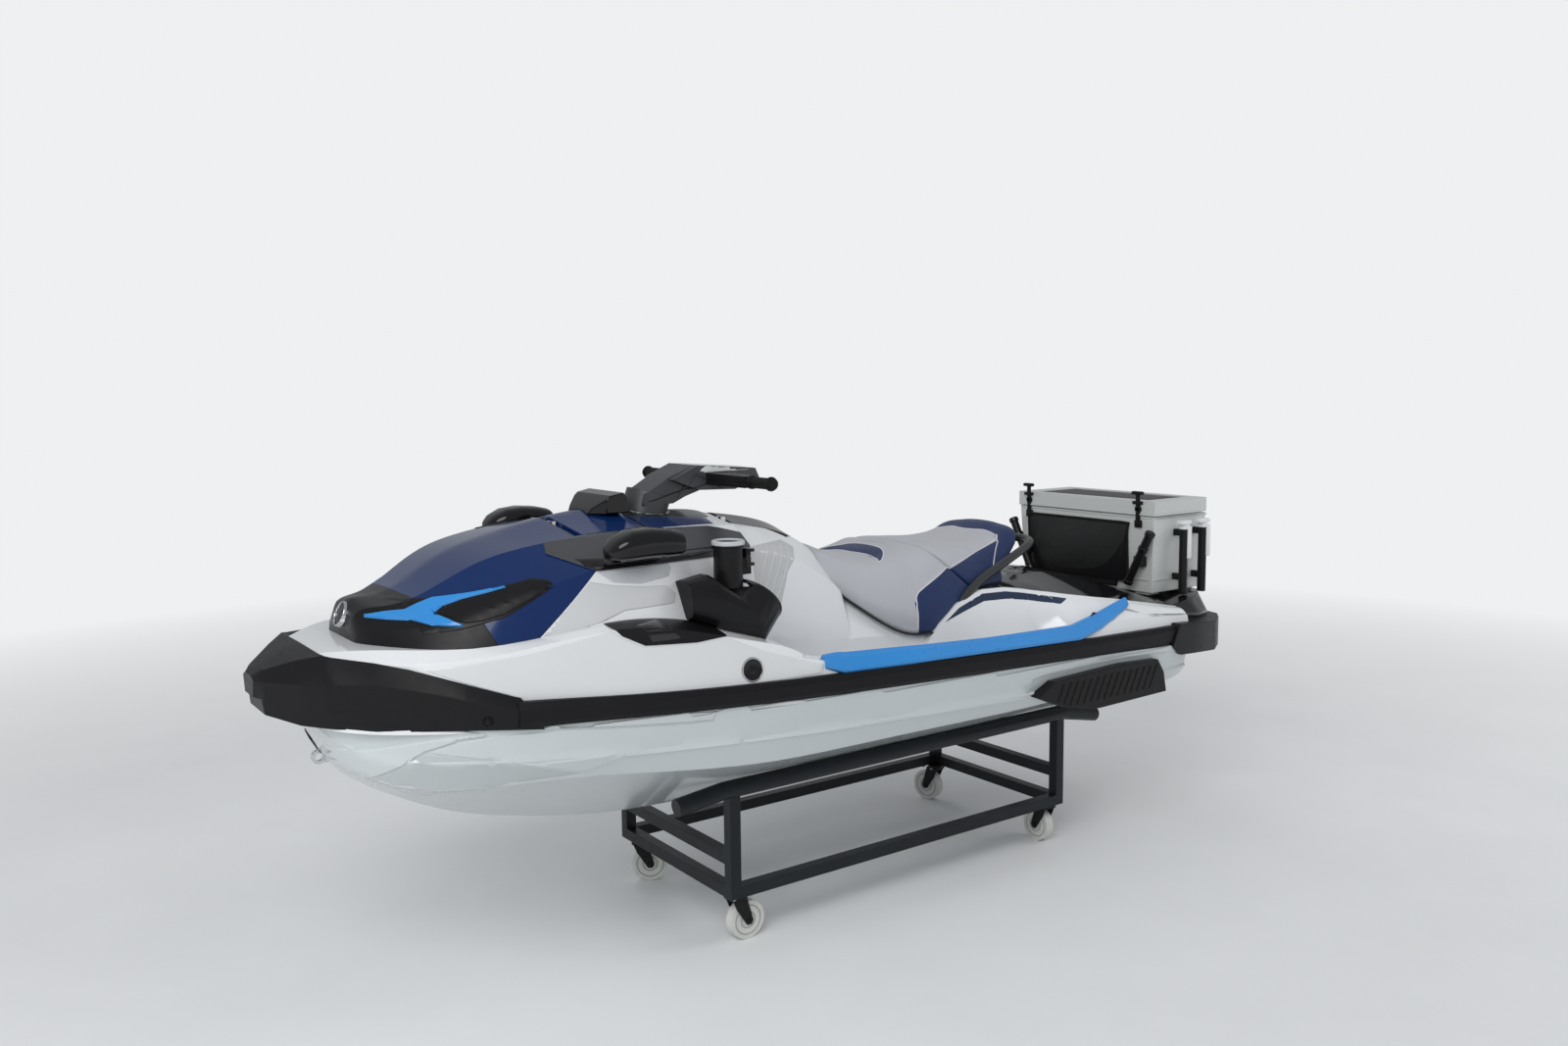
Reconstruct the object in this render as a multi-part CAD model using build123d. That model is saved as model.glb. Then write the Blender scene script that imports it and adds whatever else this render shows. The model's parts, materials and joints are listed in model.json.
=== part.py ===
"""A three-seat fishing personal watercraft on its steel shop cradle, at real size in millimetres.

X runs aft from the bow, Y to starboard, Z up from the floor; the origin is on the floor under the middle
of the craft. Stations are measured aft from the bow tip, and at(station) turns them into X."""
import math
import os

from build123d import *

os.makedirs("parts", exist_ok=True)

# Driving dimensions
LENGTH = 3730.0
KEEL_Z = 385.0
TRANSOM = 3262.0
PANEL_GAP = 3.0
MOVING_GAP = 5.5
CENTRE_Y = 12.0

# Footwells
WELL_FLOOR_Z = 742.0
WELL_SKIN = 8.0

# Cradle
TUBE = 38.0
CRADLE_FRONT = 1302.0
CRADLE_REAR = 2822.0
CRADLE_HALF_WIDTH = 357.0
CRADLE_RAIL_Z = 155.0
CROSS_RAIL_Z = 263.0
BUNK_RADIUS = 28.0
BUNK_Y = 340.0
BUNK_Z = 508.0
WHEEL_RADIUS = 62.5
WHEEL_WIDTH = 34.0
CASTER_TRAIL = 36.0
CASTER_Y = 310.0

# Cooler box
COOLER_FRONT = 3330.0
COOLER_REAR = 3664.0
COOLER_HALF_WIDTH = 358.0
COOLER_SEAM_Z = 1222.0
COOLER_TOP_Z = 1284.0
COOLER_WALL = 30.0
COOLER_BASE_Z = 912.0

# Steering
STEERING_BASE = (1215.0, 0.0, 1352.0)
STEERING_TILT = 20.0
NECK_RADIUS = 72.0
GRIP_STATION = 1455.0
GRIP_Z = 1455.0
GRIP_RADIUS = 18.0
GRIP_INNER_Y = 255.0
GRIP_OUTER_Y = 392.0

# Bores for other people's things
EYE_BORE = 11.0
ROD_BORE = 14.0
ROD_DEPTH = 285.0

# Jet drive
PUMP_Z = 525.0
PUMP_BORE = 80.0
PUMP_RADIUS = 88.0
TUNNEL_RADIUS = 104.0
NOZZLE_PIVOT = 3300.0
GATE_PIVOT = 3345.0


def at(station):
    """X of a station measured aft from the bow tip."""
    return station - LENGTH / 2


def both_sides(*shapes):
    """The shapes and their mirrors across the centre plane."""
    return [s for shape in shapes for s in (shape, mirror(shape, Plane.XZ))]


def save(node, *shapes):
    """Writes one node from its solids."""
    solids = [s for shape in shapes for s in shape.solids()]
    export_step(solids[0] if len(solids) == 1 else Compound(children=solids), f"parts/{node}.step")


def section(station, points):
    """A closed section across the craft from its (y, z) points."""
    return Wire.make_polygon([Vector(at(station), y, z) for y, z in points], close=True)


def loft(rows, ruled=False):
    """A loft along the craft from (station, (y, z) points) rows."""
    return Solid.make_loft([section(s, pts) for s, pts in rows], ruled)


def body(table, half, ruled=False):
    """A loft that is its own mirror: half(row) gives the starboard (y, z) points, lowest first."""
    rows = []
    for row in table:
        points = half(row)
        rows.append((row[0], points + [(-y, z) for y, z in reversed(points)]))
    return loft(rows, ruled)


def pairs(row):
    """The (y, z) points that follow a row's station."""
    return [(row[i], row[i + 1]) for i in range(1, len(row) - 1, 2)]


def grown(out, up):
    """As pairs, moved outwards and upwards."""
    return lambda row: [(y + out, z + up) for y, z in pairs(row)]


def side_prism(points, y0, y1):
    """A prism across the craft from (station, z) points in the side view."""
    face = Face(Wire.make_polygon([Vector(at(s), y0, z) for s, z in points], close=True))
    return Solid.extrude(face, Vector(0, y1 - y0, 0))


def plan_prism(points, z0, z1):
    """An upright prism from (station, y) points in the top view."""
    face = Face(Wire.make_polygon([Vector(at(s), y, z0) for s, y in points], close=True))
    return Solid.extrude(face, Vector(0, 0, z1 - z0))


def block(s0, s1, y0, y1, z0, z1):
    """An upright box between two stations."""
    return Pos(at((s0 + s1) / 2), (y0 + y1) / 2, (z0 + z1) / 2) * Box(s1 - s0, y1 - y0, z1 - z0)


def point(p):
    return Vector(at(p[0]), p[1], p[2])


def rod(start, end, radius):
    """A round bar between two (station, y, z) points."""
    a, b = point(start), point(end)
    return Plane(origin=a, z_dir=b - a) * Cylinder(
        radius, (b - a).length, align=(Align.CENTER, Align.CENTER, Align.MIN))


def tube(points, bend_radius, radius):
    """A round bar along (station, y, z) points with one bend radius."""
    path = FilletPolyline(*[point(p) for p in points], radius=bend_radius)
    return sweep(Plane(origin=path @ 0, z_dir=path % 0) * Circle(radius), path=path)


# Hull: keel, chine, side step and top edge
# station, keel y z, chine y z, step y z, step's upper edge y z, top y z
HULL = [
    (140, 12, 846, 60, 852, 104, 862, 102, 866, 140, 882),
    (165, 12, 786, 104, 802, 160, 830, 157, 836, 184, 880),
    (200, 12, 722, 156, 756, 214, 808, 210, 815, 232, 877),
    (260, 12, 664, 228, 714, 278, 786, 273, 793, 294, 874),
    (360, 12, 600, 314, 690, 360, 775, 354, 782, 374, 870),
    (520, 12, 520, 402, 690, 440, 765, 433, 772, 450, 863),
    (740, 12, 455, 464, 690, 504, 755, 497, 762, 516, 856),
    (1000, 12, 406, 510, 668, 543, 738, 536, 745, 560, 848),
    (1320, 12, KEEL_Z, 538, 642, 571, 722, 564, 729, 594, 838),
    (1680, 12, KEEL_Z, 547, 638, 581, 710, 574, 717, 605, 824),
    (2080, 12, KEEL_Z, 550, 636, 586, 698, 579, 705, 611, 809),
    (2480, 12, KEEL_Z, 550, 636, 586, 690, 579, 697, 610, 796),
    (2880, 12, KEEL_Z, 548, 635, 583, 681, 576, 688, 603, 780),
    (TRANSOM, 12, KEEL_Z, 544, 633, 572, 672, 565, 679, 584, 764),
]

# Deck around the nose: rail foot, shoulder and shelf
DECK = [
    (138, 206, 870, 200, 1040, 140, 1062),
    (200, 275, 863, 264, 1046, 200, 1070),
    (340, 372, 857, 362, 1043, 310, 1072),
    (560, 460, 848, 450, 1060, 408, 1074),
    (860, 540, 838, 519, 1095, 470, 1106),
    (1100, 572, 831, 549, 1060, 458, 1082),
    (1290, 592, 825, 566, 1013, 440, 1030),
    (1425, 598, 821, 576, 962, 420, 975),
]

# Upper body: the one surface that hood, cowl, front lid and side panels are parts of
# station, base y z, flank y z, ridge y z, centre y z
UPPER = [
    (250, 120, 1058, 112, 1078, 78, 1096, 12, 1104),
    (285, 205, 1058, 184, 1108, 112, 1162, 12, 1178),
    (412, 348, 1064, 300, 1128, 175, 1194, 12, 1204),
    (500, 390, 1064, 345, 1150, 205, 1243, 12, 1257),
    (640, 428, 1068, 387, 1198, 232, 1297, 12, 1313),
    (760, 450, 1082, 401, 1232, 250, 1318, 12, 1343),
    (880, 460, 1096, 396, 1258, 264, 1326, 12, 1366),
    (1010, 462, 1080, 384, 1266, 268, 1327, 12, 1380),
    (1150, 446, 1050, 366, 1264, 266, 1326, 12, 1374),
    (1290, 420, 1010, 338, 1262, 250, 1325, 12, 1360),
    (1425, 385, 955, 300, 1260, 214, 1318, 12, 1346),
]

# Console between the knees
CONSOLE = [
    (1400, 372, 736, 340, 1000, 300, 1250, 216, 1316, 12, 1344),
    (1500, 320, 736, 296, 990, 258, 1230, 168, 1302, 12, 1334),
    (1650, 300, 736, 276, 960, 228, 1190, 132, 1274, 12, 1304),
    (1780, 298, 736, 270, 930, 214, 1120, 125, 1208, 12, 1238),
    (1860, 298, 736, 268, 910, 210, 1060, 130, 1116, 12, 1130),
]

# Seat pedestal
PEDESTAL = [
    (1840, 300, 736, 268, 905, 170, 1040),
    (2045, 330, 736, 302, 896, 190, 1060),
    (2220, 345, 736, 318, 890, 195, 1075),
    (2360, 352, 736, 306, 915, 195, 1080),
    (2516, 375, 736, 284, 968, 190, 1060),
    (2700, 440, 740, 330, 1008, 190, 1030),
    (2900, 505, 790, 410, 1006, 180, 1020),
]

# Gunwales beside the footwells and the haunches behind them
GUNWALE = [
    (1400, 593, 820, 579, 958, 535, 966),
    (1560, 598, 814, 588, 922, 545, 928),
    (1900, 603, 802, 597, 903, 548, 908),
    (2300, 605, 788, 598, 890, 548, 896),
    (2620, 602, 776, 592, 882, 545, 890),
]
HAUNCH = [
    (2600, 602, 777, 592, 882, 552, 890, 470, 885),
    (2720, 600, 773, 588, 886, 535, 955, 470, 965),
    (2831, 598, 769, 578, 896, 512, 1010, 450, 1022),
    (3050, 590, 760, 570, 885, 508, 964, 450, 984),
    (3293, 576, 748, 554, 868, 498, 903, 450, 912),
]
WELL = [
    (1432, 520, WELL_FLOOR_Z + 60, 525, 1200),
    (1490, 530, WELL_FLOOR_Z, 535, 1200),
    (2560, 535, WELL_FLOOR_Z, 545, 1200),
    (2780, 470, WELL_FLOOR_Z + 120, 470, 1200),
]

# Blue trim on the gunwale: station, outer y z, inner y z
TRIM = [
    (1530, 586, 915, 556, 930),
    (1620, 592, 886, 556, 922),
    (1900, 601, 884, 556, 908),
    (2300, 603, 872, 556, 897),
    (2620, 599, 861, 556, 889),
    (2740, 589, 886, 548, 914),
    (2860, 566, 922, 538, 940),
    (2945, 545, 938, 528, 950),
]

# Front bumper
BUMPER = [
    (0, 44, 946, 56, 992, 30, 1002, 12, 1002),
    (14, 72, 944, 84, 993, 52, 1014, 12, 1015),
    (20, 80, 902, 92, 993, 58, 1018, 12, 1019),
    (90, 164, 879, 190, 994, 140, 1050, 12, 1055),
    (140, 222, 875, 240, 994, 202, 1066, 12, 1068),
    (158, 238, 874, 257, 994, 220, 1062, 12, 1030),
    (244, 300, 868, 322, 993, 306, 1050, 12, 990),
    (315, 358, 866, 374, 979, 356, 1032, 12, 970),
    (436, 424, 863, 440, 946, 414, 988, 12, 930),
    (563, 478, 856, 490, 913, 464, 942, 12, 900),
    (640, 500, 850, 508, 898, 484, 926, 12, 890),
]

# Rub rail: station, outer y, low z, high z
RAIL = [
    (560, 494, 861, 930),
    (740, 534, 858, 924),
    (1100, 592, 845, 906),
    (1573, 619, 826, 889),
    (2107, 627.5, 809, 871),
    (2700, 622, 789, 853),
    (3113, 604, 771, 840),
    (3255, 594, 765, 836),
]
RAIL_DEPTH = 60.0


def rail_ring(row):
    s, y, z0, z1 = row
    return s, [(y - RAIL_DEPTH, z0), (y - 8, z0), (y, z0 + 14), (y, z1 - 18), (y - 10, z1), (y - RAIL_DEPTH, z1)]


hull = body(HULL, pairs)
deck_nose = body(DECK, pairs)
upper = body(UPPER, pairs)
console = body(CONSOLE, pairs)
pedestal = body(PEDESTAL, pairs)
gunwale = body(GUNWALE, pairs)
haunch = body(HAUNCH, pairs, ruled=True)
well = body(WELL, pairs, ruled=True)
well_outer = body(WELL, lambda r: [(r[1] + WELL_SKIN, r[2] - WELL_SKIN), (r[3] + WELL_SKIN, 880)], ruled=True)

# Panels cut from the upper body
WIDE = 700.0
hood_side = [(412, 1040), (545, 1040), (640, 1072), (854, 1258), (854, 1450), (240, 1450), (240, 1040)]
hood_region = side_prism(hood_side, -WIDE, WIDE)
cowl_region = side_prism([(240, 1040), (560, 1040), (520, 1130), (412, 1175), (345, 1230), (240, 1230)], -WIDE, WIDE)
LID_FRONT, LID_REAR, LID_HALF, LID_FLOOR_Z = 881.0, 1098.0, 236.0, 1300.0
LID_PIVOT = (868.0, 1350.0)
lid_region = block(LID_FRONT, LID_REAR, -LID_HALF, LID_HALF, LID_FLOOR_Z + MOVING_GAP, 1450)
lid_gap = block(857, LID_REAR + MOVING_GAP, -LID_HALF - MOVING_GAP, LID_HALF + MOVING_GAP, LID_FLOOR_Z, 1450)
bin_cut = block(900, 1070, -205, 205, 1010, LID_FLOOR_Z + 1)
engine_box = block(1880, 2460, -160, 160, 505, 715)
tunnel = Pos(at(3010), 0, PUMP_Z) * Rot(0, 90, 0) * Cylinder(TUNNEL_RADIUS, 620)
tunnel = tunnel + block(2700, 3320, -TUNNEL_RADIUS, TUNNEL_RADIUS, 380, PUMP_Z)
intake = side_prism([(2300, 380), (2706, 380), (2706, 580), (2640, 580)], -74, 74)


hull = hull - engine_box - tunnel - intake - well_outer
nose_hood = (upper & hood_region) - cowl_region - deck_nose
nose_cowl = (upper & cowl_region) - deck_nose
front_lid = upper & lid_region


def knuckles(pivot, y, half, radius, pin, low_z, reach, grow_up):
    """Fixed lugs with a pin, and the moving knuckle between them, on one hinge line."""
    s, z = pivot
    lugs = [block(s - radius, s + radius, y + a, y + b, low_z, z + radius - 1)
            for a, b in ((-half - 9, -half - 1), (half + 1, half + 9))]
    lugs.append(Pos(at(s), y, z) * Rot(90, 0, 0) * Cylinder(pin, 2 * half + 14))
    knuckle = Pos(at(s), y, z) * Rot(90, 0, 0) * Cylinder(radius - 1, 2 * half)
    knuckle = knuckle + block(s, s + reach, y - half, y + half, z + grow_up, z + radius - 2) if reach > 0 else \
        knuckle + block(s + reach, s, y - half, y + half, z + grow_up, z + radius - 2)
    return lugs[0] + lugs[1] + lugs[2], knuckle - Pos(at(s), y, z) * Rot(90, 0, 0) * Cylinder(pin + 0.05, 2 * half + 2)


lid_lugs = []
for y in (-55, 55):
    lug, knuckle = knuckles(LID_PIVOT, y, 11, 7, 3.5, LID_FLOOR_Z - 2, 16, -4)
    lid_lugs.append(lug)
    front_lid = front_lid + knuckle
deck = deck_nose + (upper - hood_region - lid_gap) + console
deck = deck + gunwale + haunch + (well_outer - block(1000, 3000, -700, 700, 850, 900))
tilt = math.radians(STEERING_TILT)
steering_dir = Vector(math.sin(tilt), 0, math.cos(tilt))
steering_plane = Plane(origin=point(STEERING_BASE), x_dir=(0, 1, 0), z_dir=steering_dir)
neck_pocket = steering_plane * (Pos(0, 0, 20) * Cylinder(NECK_RADIUS + MOVING_GAP, 100))
deck = deck - well + console + pedestal - bin_cut - neck_pocket - hull
deck = max(deck.solids(), key=lambda q: q.volume)
hull = max(hull.solids(), key=lambda q: q.volume)

# Black trim that follows the hull and deck
body_skin = hull + deck
bumper = body(BUMPER, pairs, ruled=True) - side_prism([(566, 960), (576, 936), (634, 840), (800, 840), (800, 960)],
                                                      -WIDE, WIDE)
bumper = bumper - hull - deck - upper
bumper = max(bumper.solids(), key=lambda q: q.volume)
rail_side = loft([rail_ring(row) for row in RAIL])
rub_rail = [r - hull - deck - bumper for r in both_sides(rail_side)]

# Rear platform and bumper
# the stern's outline from above, station and half width, for the bumper and for the platform's two edges
STERN = [(3130, 612), (3262, 604), (3430, 584), (3560, 507), (3665, 427), (3718, 300), (3730, 0)]
PLATFORM = [(3296, 500, 468), (3440, 496, 456), (3560, 452, 408), (3640, 388, 344), (3694, 280, 240), (3712, 0, 0)]


def outline(points):
    """A closed outline from its half, without repeating points on the centre plane."""
    return [(s, -y) for s, y in points] + [(s, y) for s, y in reversed(points) if y > 0]


def platform_z(station):
    return 858 - (station - 3296) * 0.09


rear_bumper = plan_prism(outline(STERN), 600, 900) & side_prism(
    [(3134, 766), (3180, 846), (3760, 800), (3760, 690), (3188, 727)], -WIDE, WIDE)
rear_bumper = rear_bumper - haunch - hull - deck
rear_bumper = max(rear_bumper.solids(), key=lambda q: q.volume)
rub_rail = [r - rear_bumper for r in rub_rail]
low_edge = [Vector(at(s), y, platform_z(s)) for s, y in outline([(s, a) for s, a, b in PLATFORM])]
top_edge = [Vector(at(s), y, 900) for s, y in outline([(s, b) for s, a, b in PLATFORM])]
platform = Solid.make_loft([Wire.make_polygon(low_edge, close=True), Wire.make_polygon(top_edge, close=True)], True)
platform = platform + (plan_prism(outline([(s, a) for s, a, b in PLATFORM]), 800, 900)
                       & side_prism([(3200, 800), (3200, platform_z(3200)), (3800, platform_z(3800)), (3800, 790)],
                                    -WIDE, WIDE))
# Black skin over the haunches: station, edge y z, shoulder y z, inner y z, centre y z
REAR_SKIN = [
    (2600, 380, 960, 384, 985, 200, 1036, 12, 1040),
    (2720, 462, 950, 466, 990, 250, 1030, 12, 1044),
    (2831, 498, 985, 504, 1020, 300, 1032, 12, 1040),
    (2950, 496, 960, 502, 995, 300, 1016, 12, 1026),
    (3050, 494, 940, 500, 974, 300, 988, 12, 996),
    (3300, 488, 860, 492, 914, 300, 916, 12, 916),
]
rear_skin = body(REAR_SKIN, pairs, ruled=True)
rear_deck = (rear_skin + platform) - deck - hull - rear_bumper
rear_deck = max(rear_deck.solids(), key=lambda q: q.volume)

# Seats
SEAT = [
    (1800, 150, 1110, 160, 1140, 120, 1196, 12, 1222),
    (1900, 236, 1010, 236, 1060, 180, 1150, 12, 1178),
    (2045, 318, 912, 305, 1000, 215, 1130, 12, 1157),
    (2220, 338, 902, 318, 1010, 225, 1160, 12, 1189),
    (2370, 318, 935, 302, 1030, 215, 1155, 12, 1183),
    (2516, 282, 990, 272, 1060, 205, 1152, 12, 1181),
    (2640, 255, 1040, 250, 1090, 195, 1172, 12, 1198),
    (2724, 235, 1065, 235, 1115, 190, 1198, 12, 1227),
    (2830, 215, 1080, 212, 1110, 172, 1165, 12, 1192),
    (2899, 190, 1090, 186, 1105, 150, 1138, 12, 1156),
]
seat = body(SEAT, pairs) - deck
seat = seat - side_prism([(2750, 1300), (2736, 1216), (2700, 1160), (2640, 1112), (2570, 1074), (2570, 900), (3100, 900),
                          (3100, 1300)], -WIDE, WIDE)
seat_split = side_prism([(2200, 1300), (2226, 1190), (2540, 880), (3100, 880), (3100, 1300)], -WIDE, WIDE)
seat_front = seat - seat_split
seat_rear = seat & seat_split

# Steering head, bars and grips turn about one inclined axis
collar = steering_plane * (Pos(0, 0, 22) * Cylinder(NECK_RADIUS, 90) - Pos(0, 0, 0) * Cylinder(12.05, 50))
neck_arm = side_prism([(1180, 1384), (1190, 1418), (1274, 1467), (1371, 1507), (1400, 1424), (1338, 1405), (1290, 1384)],
                      -66, 66)
head = side_prism([(1274, 1462), (1371, 1507), (1594, 1486), (1609, 1455), (1513, 1420), (1379, 1424), (1330, 1440)],
                  -92, 92)
steering_neck = collar + neck_arm + head
bar_arm = Solid.make_loft([
    section_wire for section_wire in (
        Wire.make_polygon([Vector(at(1400), 90, 1440), Vector(at(1500), 90, 1440), Vector(at(1500), 90, 1478),
                           Vector(at(1400), 90, 1478)], close=True),
        Wire.make_polygon([Vector(at(1436), 262, 1437), Vector(at(1474), 262, 1437), Vector(at(1474), 262, 1473),
                           Vector(at(1436), 262, 1473)], close=True))], True)
grip = rod((GRIP_STATION, 262, GRIP_Z), (GRIP_STATION, GRIP_OUTER_Y, GRIP_Z), GRIP_RADIUS)
lever = block(1410, 1426, 200, 300, 1440, 1452)
handlebar = [b - steering_neck for b in both_sides(bar_arm)]
grips = both_sides(grip)
levers = [v - bar_arm - mirror(bar_arm, Plane.XZ) for v in both_sides(lever)]

# Gauge hood on the front lid, mirrors and side console panels
gauge_hood = side_prism([(984, 1370), (996, 1388), (1042, 1426), (1086, 1434), (1096, 1418), (1096, 1370)], -120, 120)
gauge_hood = gauge_hood & plan_prism([(980, -62), (1030, -112), (1100, -120), (1100, 120), (1030, 112), (980, 62)],
                                     1360, 1440)
gauge_hood = gauge_hood - front_lid
MIRROR = [(834, 18, 12), (872, 42, 30), (960, 50, 37), (1045, 48, 34), (1080, 30, 26)]
mirror_pod = loft([(s, [(450 - y, 1325 - z), (450 + y, 1325 - z), (450 + y, 1325 + z), (450 - y, 1325 + z)])
                   for s, y, z in MIRROR], ruled=True)
mirror_foot = side_prism([(880, 1262), (1075, 1262), (1070, 1300), (890, 1300)], 360, 440)
mirrors = [m - deck - hood_region for m in both_sides(mirror_pod + mirror_foot)]

# Glove box behind the steering, with its lid
GLOVE_FRONT, GLOVE_REAR, GLOVE_HALF = 1472.0, 1740.0, 135.0
GLOVE_PIVOT = (1462.0, 1326.0)
glove_cut = block(1490, 1720, -115, 115, 1160, 1420)
glove_region = block(GLOVE_FRONT, GLOVE_REAR, -GLOVE_HALF, GLOVE_HALF, 1250 + MOVING_GAP, 1420)
glove_gap = block(1452, GLOVE_REAR + MOVING_GAP, -GLOVE_HALF - MOVING_GAP, GLOVE_HALF + MOVING_GAP, 1250, 1420)
glove_lid = console & glove_region
deck = deck - glove_gap - glove_cut
for y in (-80, 80):
    lug, knuckle = knuckles(GLOVE_PIVOT, y, 9, 6.5, 3, 1248, 14, -4)
    deck = deck + lug
    glove_lid = glove_lid + knuckle
for lug in lid_lugs:
    deck = deck + lug
steering_pin = steering_plane * (Pos(0, 0, -8) * Cylinder(12, 50))
deck = deck + steering_pin

hood_trim = (body(UPPER, grown(3, 2)) & side_prism([(300, 1110), (470, 1118), (560, 1150), (600, 1150), (520, 1112), (560, 1085),
                                       (440, 1092)], -WIDE, WIDE)) - upper - deck

# Speaker pods: a bowl that faces the rider
# station, y, z of each section's middle, its half width and height, its power, and the way it faces
POD = [
    (1098, -440, 1142, 52, 56, 3.2, (1, 0, 0.1)),
    (1190, -436, 1120, 86, 92, 2.6, (1, 0.05, 0.2)),
    (1290, -426, 1062, 106, 108, 2.1, (0.85, 0.2, 0.5)),
    (1361, -400, 1107, 99, 99, 2.0, (0.66, 0.30, 0.68)),
]
POD_SIDES = 20


def oval(middle, half_y, half_z, power, facing):
    """A closed many-sided section, round at power 2 and squarer above it."""
    plane = Plane(origin=point(middle), x_dir=(0, 1, 0), z_dir=Vector(*facing))
    corners = []
    for k in range(POD_SIDES):
        angle = 2 * math.pi * (k + 0.5) / POD_SIDES
        c, d = math.cos(angle), math.sin(angle)
        corners.append(plane.from_local_coords((half_y * math.copysign(abs(c) ** (2 / power), c),
                                                half_z * math.copysign(abs(d) ** (2 / power), d), 0)))
    return Wire.make_polygon(corners, close=True)


pod = Solid.make_loft([oval((s, y, z), a, b, power, facing) for s, y, z, a, b, power, facing in POD], True)
pod_plane = Plane(origin=point(POD[-1][:3]), x_dir=(0, 1, 0), z_dir=Vector(*POD[-1][6]))
pod = pod - pod_plane * (Pos(0, 0, -12) * Cylinder(88, 60))
pod = (pod - upper - deck_nose - gunwale - console)
pod = max(pod.solids(), key=lambda q: q.volume)
speaker_pods = both_sides(pod)

# Cup holder on the port pod
cup_middle = Pos(at(1267), -420, 1228)
cup = cup_middle * Cylinder(44, 134) + cup_middle * Pos(0, 0, 60) * Cylinder(47, 14)
cup = cup + block(1300, 1336, -440, -404, 1196, 1246)
cup_holder = cup - cup_middle * (Pos(0, 0, 8) * Cylinder(40, 126)) - deck - upper
speaker_pods[0] = speaker_pods[0] - cup_middle * Pos(0, 0, 33) * Box(100, 130, 200)

# Side console panels lie on the upper body
upper_grown = body(UPPER, grown(3, 2))
console_region = side_prism([(740, 1292), (762, 1338), (880, 1352), (990, 1372), (1290, 1345), (1500, 1290), (1503, 1252),
                             (1264, 1246), (1118, 1246), (842, 1246)], -WIDE, WIDE)
console_panel = (upper_grown & console_region) & block(700, 1500, 250, 500, 1100, 1400)
console_panel = console_panel - upper - lid_gap - mirror_pod - mirror_foot - mirror(pod, Plane.XZ)
console_panels = both_sides(max(console_panel.solids(), key=lambda q: q.volume))

# Cleat panels, gunwale trim and footwell mats
deck_grown = body(DECK, grown(3, 2))
cleat_region = side_prism([(828, 1104), (905, 1128), (1042, 1128), (1180, 1078), (1176, 1046), (1073, 1038), (916, 1046),
                           (853, 1078)], -WIDE, WIDE)
cleat = (deck_grown & cleat_region & block(700, 1500, 300, 700, 900, 1200)) - deck_nose - pod
cleat = cleat - mirror(pod, Plane.XZ) - upper
side_cleats = both_sides(max(cleat.solids(), key=lambda q: q.volume))
trim = loft([(s, [(y0 - 5, z0 - 12), (y0 + 4, z0 - 12), (y0 + 4, z0 + 5), (y1, z1 + 6), (y1, z1 - 8)])
             for s, y0, z0, y1, z1 in TRIM], ruled=True) - deck - rub_rail[0] - rub_rail[1]
gunwale_trim = both_sides(max(trim.solids(), key=lambda q: q.volume))
mat = block(1500, 2500, 370, 515, WELL_FLOOR_Z, WELL_FLOOR_Z + 6) - deck
floor_mats = both_sides(max(mat.solids(), key=lambda q: q.volume))

# Sponsons, bow eye and stern eyes
sponson = side_prism([(2393, 684), (2470, 730), (2836, 742), (3032, 734), (3068, 681), (3084, 606), (2708, 600),
                      (2532, 630)], 500, 622) - hull
sponsons = both_sides(max(sponson.solids(), key=lambda q: q.volume))
bow_eye = Pos(at(172), 0, 742) * Rot(90, 0, 0) * (Cylinder(20, 12) - Cylinder(EYE_BORE, 13))
bow_eye = bow_eye + block(186, 220, -14, 14, 726, 758) - hull

# Grab handle behind the seat
grab = tube([(2410, 250, 985), (2430, 298, 1045), (2600, 280, 1112), (2735, 245, 1150), (2785, 190, 1160),
             (2785, -190, 1160), (2735, -245, 1150), (2600, -280, 1112), (2430, -298, 1045), (2410, -250, 985)], 30, 13)
grab_handle = grab - deck - seat_rear - seat_front

# Cooler: tub, lid and fittings
def rectangle(s0, s1, half, z):
    return Wire.make_polygon([Vector(at(s0), -half, z), Vector(at(s1), -half, z), Vector(at(s1), half, z),
                              Vector(at(s0), half, z)], close=True)


cooler_shell = Solid.make_loft([rectangle(COOLER_FRONT + 16, COOLER_REAR - 16, COOLER_HALF_WIDTH - 16, COOLER_BASE_Z),
                                rectangle(COOLER_FRONT, COOLER_REAR, COOLER_HALF_WIDTH, COOLER_SEAM_Z)], True)
cooler_room = Solid.make_loft([
    rectangle(COOLER_FRONT + 16 + COOLER_WALL, COOLER_REAR - 16 - COOLER_WALL,
              COOLER_HALF_WIDTH - 16 - COOLER_WALL, COOLER_BASE_Z + COOLER_WALL),
    rectangle(COOLER_FRONT + COOLER_WALL, COOLER_REAR - COOLER_WALL, COOLER_HALF_WIDTH - COOLER_WALL,
              COOLER_SEAM_Z + 1)], True)
cooler_feet = [block(s, s + 60, y, y + 70, 898, COOLER_BASE_Z) for s in (COOLER_FRONT + 30, COOLER_REAR - 90)
               for y in (-320, 250)]
cooler_tub = cooler_shell - cooler_room
for foot in cooler_feet:
    cooler_tub = cooler_tub + (foot - rear_deck)
cooler_lid = block(COOLER_FRONT - 4, COOLER_REAR - 4, -COOLER_HALF_WIDTH - 6, COOLER_HALF_WIDTH + 6,
                   COOLER_SEAM_Z + MOVING_GAP, COOLER_TOP_Z)
COOLER_PIVOT = (3676.0, 1230.0)
for y in (-220, 220):
    lug, knuckle = knuckles(COOLER_PIVOT, y, 12, 8, 4, 1190, -18, -2)
    cooler_tub = cooler_tub + lug + block(3650, 3668.5, y - 21, y + 21, 1190, 1214) - cooler_room
    cooler_lid = cooler_lid + knuckle
cooler_lid = cooler_lid - block(COOLER_FRONT + 40, COOLER_REAR - 50, -300, 300, COOLER_TOP_Z - 8, COOLER_TOP_Z + 9)
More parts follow.
